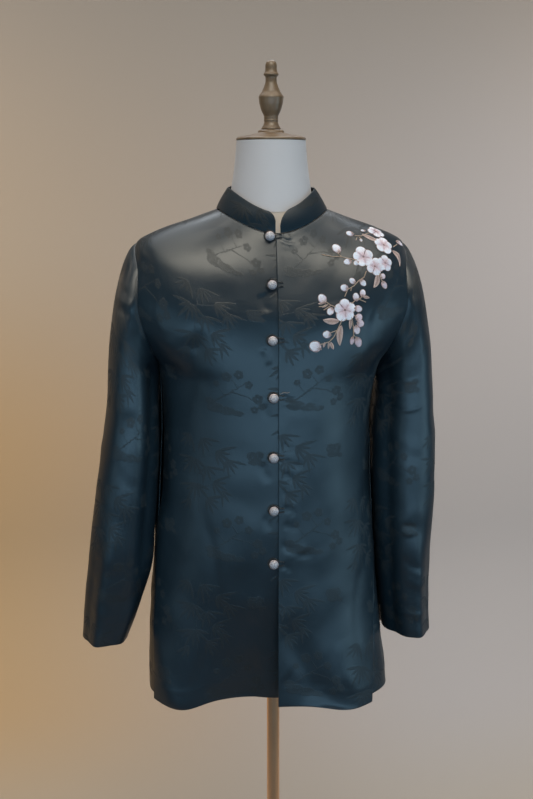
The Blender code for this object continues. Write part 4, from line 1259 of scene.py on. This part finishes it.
def threadMaterial(name, colours, rough):  # silk thread: its shade runs along each stitch
    made, tree, shader = newMaterial(name, {"Specular IOR Level": 0.6, "Sheen Weight": 0.25})
    shade = addNode(tree, "ShaderNodeAttribute", attribute_name="shade")
    colour = mixColour(tree, shade.outputs["Fac"], colours[0], colours[1])
    soft = blend(tree, plainNoise(tree, 420.0, 2.0), 0.88, 1.1)
    tint(tree, shader, colour, soft)
    tree.links.new(blend(tree, plainNoise(tree, 900.0, 1.0), rough, rough + 0.18), shader.inputs["Roughness"])
    return made


materials = {
    "cover": coverMaterial(), "wood": woodMaterial(), "pearl": pearlMaterial(),
    "rim": metalMaterial("buttonRim", (0.55, 0.42, 0.40), 0.3, 0.6, (1, 1, 1)),
    "pole": metalMaterial("poleMetal", (0.88, 0.58, 0.38), 0.22, 1.0, (1, 1, 0.03)),
    "foot": metalMaterial("footMetal", (0.045, 0.044, 0.045), 0.42, 0.3, (1, 1, 1)),
    "cord": threadMaterial("loopCord", ((0.008, 0.012, 0.017), (0.014, 0.02, 0.028)), 0.42),
}
print("materials:", len(wovenSatin.nodes), "nodes in the woven pattern")


# Buttons and loops take their finish

loopTree = twistTree(cordPlan)
buttons, loops = [], []
for number, (x, z) in enumerate(buttonPlan["places"], start=1):
    ball = ballButton(number, x, z, buttonPlan)
    ball.data.materials.append(materials["pearl"])
    ball.data.materials.append(materials["rim"])
    buttons.append(ball)
    path = pathObject(f"cordLoop{number}", loopPath(x, z, buttonPlan))
    loops.append(runTree(path, loopTree, {
        "Cord Radius": buttonPlan["cordRadius"] * mm, "Pitch": cordPlan["pitch"], "Sides": cordPlan["sides"],
        "Material": materials["cord"]}))
print("buttons:", len(buttons), "loops:", len(loops), len(loops[0].data.polygons), "faces each")


# Embroidery on the left front, in mm about the shirt's axis: a spray of blossoms over the shoulder
# and one below it

# Blossoms: x, z, radius, turn in degrees.
blossoms = (
    (135, 1377, 17.5, 98), (152.5, 1362.5, 14.5, 62), (170, 1367, 12.5, 84), (171, 1394, 15.5, 72),
    (162, 1414, 13.5, 95), (102, 1297.5, 17.5, 92),
)

# Buds and single petals: x, z, half-length, half-width, the way the tip points, how white.
embroideredBuds = (
    (117, 1412, 5.8, 5.0, 175, 1.0), (140, 1416, 3.8, 2.4, 170, 1.0), (93, 1390, 7.6, 6.6, 120, 1.0),
    (134, 1402, 3.0, 2.0, -95, 0.9), (109, 1370, 6.0, 4.8, 195, 1.0), (123, 1368, 4.6, 3.8, 205, 1.0),
    (165, 1347, 4.6, 4.2, 30, 0.5), (167, 1334, 6.0, 4.4, -65, 0.4), (115, 1341, 5.0, 4.2, 140, 1.0),
    (132, 1338, 5.6, 4.4, -50, 1.0), (102, 1331, 5.8, 5.2, 165, 1.0), (67, 1315, 7.2, 6.2, 118, 0.8),
    (79, 1296, 5.8, 5.0, -125, 1.0), (120, 1317, 6.0, 4.8, 98, 0.7), (131, 1322.5, 5.4, 4.4, 80, 0.8),
    (123, 1299, 6.2, 4.8, -10, 0.7), (73, 1261, 6.0, 5.4, 172, 1.0), (55, 1243, 9.0, 7.8, 155, 1.0),
    (123, 1248, 7.6, 5.4, -68, 0.35), (113, 1250.5, 5.6, 3.2, -100, 0.3), (201, 1396, 7.2, 4.8, -35, 0.6),
    (124, 1286, 5.6, 5.2, 40, 0.45), (126.5, 1276.5, 5.6, 5.2, -15, 0.5),
    (120.5, 1267, 6.4, 5.0, -75, 0.7),
)

# Leaves: x and z of the base, length, half-width, heading, how much the heading turns on the way.
embroideredLeaves = (
    (137, 1411, 32, 3.8, -38, 8), (184, 1385, 32, 4.4, -32, -70), (156, 1350, 23, 4.4, -88, -52),
    (92, 1281, 25, 4.6, 186, -22), (96, 1274, 31, 4.8, -108, 26), (132, 1316.5, 10, 2.2, -4, -10),
    (79, 1249, 12, 2.4, -72, 10), (110, 1283, 15, 2.2, -86, -14), (70, 1249, 8, 1.5, -112, 10),
    (76, 1249, 10, 1.4, -90, -8), (69, 1309, 9, 1.4, 200, -20), (74, 1306, 9, 1.3, 215, -15),
)

# Twigs: points along each.
embroideredTwigs = (
    ((69, 1382), (84, 1378), (99, 1377.5), (112, 1374), (124, 1372)),
    ((94, 1385), (97, 1380), (100, 1377)),
    ((140, 1357), (135, 1347), (126, 1342), (117, 1333.5), (107, 1328.5), (101, 1317)),
    ((113, 1331), (112, 1326)), ((88, 1302), (79, 1305.5), (72, 1311)),
    ((76, 1306), (68, 1303.5), (61, 1303)), ((80, 1305), (72, 1300), (68, 1297.5)),
    ((112, 1307), (120, 1312.5), (128, 1315)), ((124, 1313.5), (130, 1311), (136, 1308.5)),
    ((127, 1314.5), (130, 1319)),
    ((98, 1284), (90, 1268), (84, 1257), (77, 1250), (68, 1247), (62, 1246)),
    ((89, 1267), (83, 1265), (78, 1263)), ((112, 1289), (115, 1272), (115.5, 1259), (120, 1254)),
    ((115.5, 1259), (113.5, 1254)), ((116, 1289), (121, 1287)),
    ((123, 1408), (134, 1407), (142, 1410.5), (151, 1413.5)), ((129, 1407), (125.5, 1402)),
    ((132, 1407), (134, 1404)), ((159, 1353), (160.5, 1345.5), (164, 1338)), ((160, 1350), (163, 1348)),
    ((185, 1390), (192, 1393), (197, 1395)),
)

stitching = {
    "thread": 0.34, "spacing": 0.60, "rise": 0.95, "outline": 0.42, "twig": 0.5, "twigTwist": 3.4,
    "grain": 0.16,
}
clothOfLeft = BVHTree.FromPolygons([v.co.copy() for v in shirtPieces["frontLeft"].data.vertices],
                                   [tuple(face.vertices) for face in shirtPieces["frontLeft"].data.polygons])
threadSeed = np.random.default_rng(7)


def spotAt(x, z):  # where the cloth lies there: point, outward, right and up
    starts = [Vector(((x + dx + shirtAxisX) * mm, -0.5, (z + dz) * mm))
              for dx, dz in ((0, 0), (-7, 0), (7, 0), (0, -7), (0, 7))]
    found = [clothOfLeft.ray_cast(start, Vector((0, 1, 0)))[:2] for start in starts]
    normals = [normal if normal.y < 0 else -normal for place, normal in found if place is not None]
    outward = sum(normals, Vector()).normalized()
    right = Vector((0, 0, 1)).cross(outward).normalized()
    return found[0][0], outward, right, outward.cross(right)


def laidOn(spot, flat, height):  # points at u and v mm about the spot, raised from the cloth
    place, outward, right, up = spot
    return [clothOfLeft.find_nearest(place + right * (u * mm) + up * (v * mm))[0] + outward * (h * mm)
            for (u, v), h in zip(flat, height)]


def wayOf(degrees):
    return np.array([math.cos(math.radians(degrees)), math.sin(math.radians(degrees))])


def strokesMesh(name, strokes):  # one edge mesh from strokes: points, thickness in mm, shade from end to end
    points, edges, thick, shade = [], [], [], []
    for path, radius, (first, last) in strokes:
        start, count = len(points), len(path)
        points += [tuple(point) for point in path]
        edges += [(start + i, start + i + 1) for i in range(count - 1)]
        thick += [radius * mm] * count
        shade += list(np.linspace(first, last, count))
    mesh = bpy.data.meshes.new(name)
    mesh.from_pydata(points, edges, [])
    for label, values in (("thick", thick), ("shade", shade)):
        given = mesh.attributes.new(label, "FLOAT", "POINT")
        given.data.foreach_set("value", np.array(values, dtype=np.float32))
    return linkObject(name, mesh)


def threadTree():  # lays a round thread along every stroke
    tree, start, end = newTree("laidThread", (("Sides", "Int", 5), ("Material", "Material", None)))
    line = addNode(tree, "GeometryNodeMeshToCurve", {"Mesh": start.outputs["Geometry"]})
    thick = addNode(tree, "GeometryNodeInputNamedAttribute", {"Name": "thick"}, data_type="FLOAT")
    circle = addNode(tree, "GeometryNodeCurvePrimitiveCircle", {
        "Resolution": start.outputs["Sides"], "Radius": 1.0})
    mesh = addNode(tree, "GeometryNodeCurveToMesh", {
        "Curve": line.outputs[0], "Profile Curve": circle.outputs["Curve"],
        "Scale": thick.outputs["Attribute"], "Fill Caps": True})
    return finishedTree(tree, mesh, start.outputs["Material"], end)


def stitch(spot, flat, height, tones, white, own):  # its shade is a little off, by chance
    jitter = threadSeed.uniform(-own["grain"], own["grain"])
    shade = tuple(np.clip(np.array(tones) * white + jitter, 0, 1))
    return laidOn(spot, flat, height), own["thread"], shade


# An outer row of white stitches over an inner row with a blush.
def petalStrokes(spot, radius, heading, white, own):
    ahead, aside = wayOf(heading), wayOf(heading + 90)
    centre, lobe = 0.52 * radius, 0.50 * radius
    filled, edged = [], []
    for s in np.linspace(-0.95, 0.95, int(2 * lobe / own["spacing"])) * lobe:
        reach = math.sqrt(lobe**2 - s**2)
        root, tip = max(centre - reach, 0.95 * abs(s), 0.10 * radius), centre + reach
        if tip - root < 0.8:
            continue
        split = root + (tip - root) * (0.45 + threadSeed.uniform(-0.09, 0.09))
        cross = math.sqrt(1 - 0.85 * (s / lobe)**2)
        for low, high, tones in ((root, split + 0.5, (0.0, 0.55)), (split - 0.5, tip, (0.62, 1.0))):
            along = np.linspace(low, high, 4)
            part = np.clip((along - root) / (tip - root), 0, 1)
            flat = along[:, None] * ahead + (s * (0.62 + 0.38 * part))[:, None] * aside
            height = 0.25 + own["rise"] * np.sin(math.pi * (0.06 + 0.88 * part)) ** 0.7 * cross
            filled.append(stitch(spot, flat, height, tones, white, own))
    angle = np.radians(np.linspace(-122, 122, 17))
    wide = lobe + 0.15
    ring = (centre + wide * np.cos(angle))[:, None] * ahead + (wide * np.sin(angle))[:, None] * aside
    edged.append((laidOn(spot, ring, [0.45] * 17), own["outline"], (0.45, 0.55)))
    return filled, edged


def blossomStrokes(x, z, radius, turn, own):
    spot = spotAt(x, z)
    filled, edged = [], []
    for k in range(5):
        size = radius * threadSeed.uniform(0.93, 1.05)
        heading = turn + 72 * k + threadSeed.uniform(-5, 5)
        petal = petalStrokes(spot, size, heading, threadSeed.uniform(0.88, 1.0), own)
        filled, edged = filled + petal[0], edged + petal[1]
    for k in range(9):  # stamens with a knot at the end
        way = wayOf(turn + 40 * k + threadSeed.uniform(-8, 8)) * radius * threadSeed.uniform(0.26, 0.4)
        edged.append((laidOn(spot, [way * 0.1, way * 0.6, way], [1.2, 1.5, 1.45]), 0.15, (0.6, 0.8)))
        edged.append((laidOn(spot, [way, way * 1.04], [1.5, 1.8]), 0.42, (0.3, 0.5)))
    return filled, edged


def budStrokes(x, z, halfLong, halfWide, heading, white, own):
    spot = spotAt(x, z)
    ahead, aside = wayOf(heading), wayOf(heading + 90)
    filled, edged, calyx = [], [], []
    for s in np.linspace(-0.93, 0.93, max(5, int(2 * halfWide / own["spacing"]))):
        reach = halfLong * math.sqrt(1 - s * s)
        part = np.linspace(-1, 1, 5)
        flat = (part * reach)[:, None] * ahead + (s * halfWide * (1 - 0.18 * part**2))[:, None] * aside
        height = 0.3 + own["rise"] * 0.9 * np.sqrt(np.clip(1 - part**2, 0, 1)) * math.sqrt(1 - 0.8 * s * s)
        filled.append(stitch(spot, flat, height, (0.35, 1.0), white, own))
    angle = np.radians(np.linspace(0, 360, 21))
    ring = (halfLong * 1.03 * np.cos(angle))[:, None] * ahead
    ring = ring + (halfWide * 1.04 * np.sin(angle))[:, None] * aside
    edged.append((laidOn(spot, ring, [0.4] * 21), own["outline"] * 0.85, (0.5, 0.5)))
    for lean in (-42, -14, 14, 42):  # the green cup that holds the bud
        tip = -halfLong * 1.05 * ahead + wayOf(heading + lean) * halfLong * 0.75
        root = -halfLong * 0.95 * ahead
        flat = [-halfLong * 1.25 * ahead, root + (tip - root) * 0.4, tip]
        calyx.append((laidOn(spot, flat, [0.5, 1.2, 1.25]), 0.45, (0.2, 0.6)))
    return filled, edged, calyx


def leafStrokes(x, z, length, halfWide, heading, bend, own):
    spot = spotAt(x, z)
    part = np.linspace(0, 1, 25)
    ways = np.array([wayOf(heading + bend * t) for t in part])
    rib = np.concatenate([[[0.0, 0.0]], np.cumsum(0.5 * (ways[1:] + ways[:-1]) * length / 24, axis=0)])
    wide = halfWide * np.sin(math.pi * part**0.85) ** 0.75
    filled = []
    for side in (-1, 1):
        for t in np.linspace(0.0, 0.9, max(6, int(length / (own["spacing"] * 1.05)))):
            lead = min(1.0, t + 0.10)
            start = np.array([np.interp(t, part, rib[:, k]) for k in (0, 1)])
            end = np.array([np.interp(lead, part, rib[:, k]) for k in (0, 1)])
            normal = wayOf(heading + bend * lead + 90) * side * np.interp(lead, part, wide)
            flat = [start, start + (end + normal - start) * 0.5, end + normal]
            filled.append(stitch(spot, flat, (0.45, 0.95, 0.25), (0.35, 0.85), 1.0, own))
    vein = [(laidOn(spot, rib[1:-1], [0.85] * 23), 0.3, (0.0, 0.25))]
    for side in (-1, 1):
        edge = rib + np.array([wayOf(heading + bend * t + 90) for t in part]) * (side * wide)[:, None]
        vein.append((laidOn(spot, edge, [0.35] * 25), 0.3, (0.55, 0.75)))
    return filled, vein


def twigStrokes(points, own):  # two threads wound round each other
    points = np.array(points, dtype=float)
    run = np.concatenate([[0], np.cumsum(np.linalg.norm(np.diff(points, axis=0), axis=1))])
    at = np.arange(0, run[-1], 0.55)
    line = np.stack([np.interp(at, run, points[:, k]) for k in (0, 1)], axis=1)
    line = evenedOut(line, 5)
    spot = spotAt(*points[len(points) // 2])
    flat = line - points[len(points) // 2]
    way = np.gradient(line, axis=0)
    normal = np.stack([-way[:, 1], way[:, 0]], axis=1) / np.linalg.norm(way, axis=1, keepdims=True)
    slim = 1 - 0.45 * at / at[-1]
    strands = []
    for start in (0.0, math.pi):
        turn = start + 2 * math.pi * at / own["twigTwist"]
        wound = flat + normal * (np.sin(turn) * 0.42 * slim)[:, None]
        strands.append((laidOn(spot, wound, 0.6 + np.cos(turn) * 0.36), own["twig"],
                        (0.4 + 0.15 * math.cos(start), 0.55)))
    return strands


silk = {"petal": [], "edge": [], "leaf": [], "twig": []}
for x, z, radius, turn in blossoms:
    filled, edged = blossomStrokes(x, z, radius, turn, stitching)
    silk["petal"] += filled
    silk["edge"] += edged
for bud in embroideredBuds:
    filled, edged, calyx = budStrokes(*bud, stitching)
    silk["petal"] += filled
    silk["edge"] += edged
    silk["leaf"] += calyx
for leaf in embroideredLeaves:
    filled, vein = leafStrokes(*leaf, stitching)
    silk["leaf"] += filled + vein
for twig in embroideredTwigs:
    silk["twig"] += twigStrokes(twig, stitching)

# A loose end at the fourth button.
looseEnd = {"place": (8, 1168), "flat": ((-7, 3), (-4, 5), (0, 5.5), (4, 4.6), (7, 6)),
            "height": (1.5, 3.2, 3.6, 2.6, 1.2), "thick": 0.16, "shade": (0.9, 1.0)}
silk["twig"].append((laidOn(spotAt(*looseEnd["place"]), looseEnd["flat"], looseEnd["height"]),
                     looseEnd["thick"], looseEnd["shade"]))

silkLooks = {
    "petal": (((0.58, 0.42, 0.50), (0.80, 0.88, 1.0)), 0.38),
    "edge": (((0.40, 0.24, 0.24), (0.56, 0.40, 0.40)), 0.45),
    "leaf": (((0.22, 0.13, 0.11), (0.60, 0.47, 0.45)), 0.42),
    "twig": (((0.26, 0.17, 0.12), (0.58, 0.44, 0.34)), 0.48),
}
silkTree = threadTree()
embroidery = {}
for part, strokes in silk.items():
    colours, rough = silkLooks[part]
    embroidery[part] = runTree(strokesMesh(part + "Stitches", strokes), silkTree,
                               {"Sides": 5, "Material": threadMaterial(part + "Silk", colours, rough)})
    print("embroidery:", part, len(strokes), "strokes,", triangleCount(embroidery[part]), "triangles")


# Stage, lights and world

stageLook = {
    "wallY": 0.95, "height": 3.4, "width": 6.0, "front": -4.5, "bend": 0.7,
    # painted light and shade: the wall's colours are warmer low on the left, cooler to the right and darker
    # towards the top, as the room's light falls on it
    "litWallLeftLow": (0.52, 0.34, 0.18), "wallLeft": (0.455, 0.358, 0.27), "wallRight": (0.455, 0.415, 0.41),
    "shadedWallTop": (0.36, 0.31, 0.27), "floor": (0.44, 0.385, 0.325),
    "leftRise": (0.85, 1.4), "toRight": (-0.75, 0.55), "topRise": (1.3, 2.1), "floorRise": (0.0, 0.35),
}


def backdrop(own):
    profile = [(own["front"], 0.0)]
    profile += [(own["wallY"] - own["bend"] * (1 - math.sin(a)), own["bend"] * (1 - math.cos(a)))
                for a in np.radians(np.linspace(0, 90, 25))]
    profile.append((own["wallY"], own["height"]))
    points = [(x, y, z) for y, z in profile for x in (-own["width"] / 2, own["width"] / 2)]
    faces = [(2 * i, 2 * i + 1, 2 * i + 3, 2 * i + 2) for i in range(len(profile) - 1)]
    mesh = bpy.data.meshes.new("backdrop")
    mesh.from_pydata(points, [], faces)
    mesh.polygons.foreach_set("use_smooth", np.ones(len(faces), dtype=bool))
    item = linkObject("backdrop", mesh)
    made, tree, shader = newMaterial("paintedWall", {"Roughness": 0.9, "Specular IOR Level": 0.1})
    place = addNode(tree, "ShaderNodeTexCoord")
    part = addNode(tree, "ShaderNodeSeparateXYZ", {0: place.outputs["Object"]})

    def between(axis, key):
        return addNode(tree, "ShaderNodeMapRange", {
            "Value": part.outputs[axis], "From Min": own[key][0], "From Max": own[key][1]},
            interpolation_type="SMOOTHSTEP").outputs[0]

    # Painted light and shade: painted warm light low on the left, a cooler tone to the right, painted shade
    # towards the top of the wall.
    colour = mixColour(tree, between("Z", "leftRise"), own["litWallLeftLow"], own["wallLeft"])
    colour = mixColour(tree, between("X", "toRight"), colour, own["wallRight"])
    colour = mixColour(tree, between("Z", "topRise"), colour, own["shadedWallTop"])
    colour = mixColour(tree, between("Z", "floorRise"), own["floor"], colour)
    soft = blend(tree, plainNoise(tree, 1.4, 2.0), 0.96, 1.04)
    tint(tree, shader, colour, soft)
    # The wall is painted on one side only: its other side is clear, so the back can be seen.
    side = addNode(tree, "ShaderNodeNewGeometry")
    clear = addNode(tree, "ShaderNodeBsdfTransparent")
    either = addNode(tree, "ShaderNodeMixShader", {
        0: side.outputs["Backfacing"], 1: shader.outputs[0], 2: clear.outputs[0]})
    out = next(node for node in tree.nodes if node.type == "OUTPUT_MATERIAL")
    tree.links.new(either.outputs[0], out.inputs["Surface"])
    mesh.materials.append(made)
    return item


backdrop(stageLook)

# Softboxes: place, what it faces, size, colour, power in watts, spread in degrees.
softboxes = {
    "overhead": ((0.0, -1.22, 2.72), (0.0, -0.1, 1.35), (3.2, 0.9), (1.0, 0.93, 0.78), 12, 84),
    "ceiling": ((0.0, 0.12, 2.95), (0.0, 0.25, 0.0), (2.4, 1.2), (1.0, 0.93, 0.84), 11, 150),
    "window": ((0.05, -3.1, 0.85), (0.0, 0.0, 1.05), (4.2, 1.0), (0.40, 0.72, 1.0), 13.0, 120),
    "windowFar": ((-2.3, -1.5, 1.0), (0.0, 0.0, 1.05), (1.0, 1.2), (0.50, 0.80, 1.0), 1.6, 120),
    "windowSide": ((2.2, -1.3, 0.95), (0.0, 0.0, 1.05), (1.0, 1.2), (0.45, 0.78, 1.0), 4.5, 120),
    "behind": ((0.0, 0.80, 2.45), (0.0, 0.12, 1.10), (1.4, 0.3), (0.92, 0.96, 1.0), 3.0, 120),
    "wallLeft": ((-1.35, 0.30, 2.1), (-0.75, 0.95, 1.25), (0.5, 0.8), (1.0, 0.84, 0.66), 4.0, 110),
    "wallRight": ((1.45, 0.30, 2.0), (0.85, 0.95, 1.15), (0.5, 0.8), (1.0, 0.93, 0.87), 3.8, 110),
}
for name, (place, aim, size, colour, watts, spread) in softboxes.items():
    light = bpy.data.lights.new(name, "AREA")
    light.shape, light.size, light.size_y = "RECTANGLE", size[0], size[1]
    light.color, light.energy, light.spread = colour, watts, math.radians(spread)
    item = bpy.data.objects.new(name, light)
    item.location = place
    item.rotation_euler = (Vector(aim) - Vector(place)).to_track_quat("-Z", "Y").to_euler()
    bpy.context.scene.collection.objects.link(item)

world = bpy.data.worlds.new("room")
world.use_nodes = True
world.node_tree.nodes["Background"].inputs["Color"].default_value = (0.50, 0.50, 0.50, 1.0)
world.node_tree.nodes["Background"].inputs["Strength"].default_value = 0.055
bpy.context.scene.world = world
bpy.context.scene.view_settings.view_transform = "Standard"
print("stage and lights set")


# Every piece takes its finish and hangs from the root, its CAD node hidden

for panelName, item in shirtPieces.items():
    item.data.materials.append(satinMaterial(panelName, satinLook))
    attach(item, "root")
    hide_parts(cadNodeOf[panelName])
for item in (formSkin, formSeam):
    item.data.materials.append(materials["cover"])
    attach(item, "root")
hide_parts("form_torso")
turnedFinish = {"pole": ("pole", "pole_metal"), "base": ("foot", "foot_metal")}
for name, item in turnedObjects.items():
    finish = turnedFinish.get(turnedPieces[name]["node"], ("wood", "turned_wood"))
    item.data.materials.append(materials[finish[0]])
    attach(item, "root")
    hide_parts(turnedPieces[name]["node"])
for number, (ball, loop) in enumerate(zip(buttons, loops), start=1):
    for item, node, slotName in ((ball, f"button_{number}", "pearl"), (loop, f"loop_{number}", "cord")):
        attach(item, "root")
        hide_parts(node)

for item in embroidery.values():
    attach(item, "root")
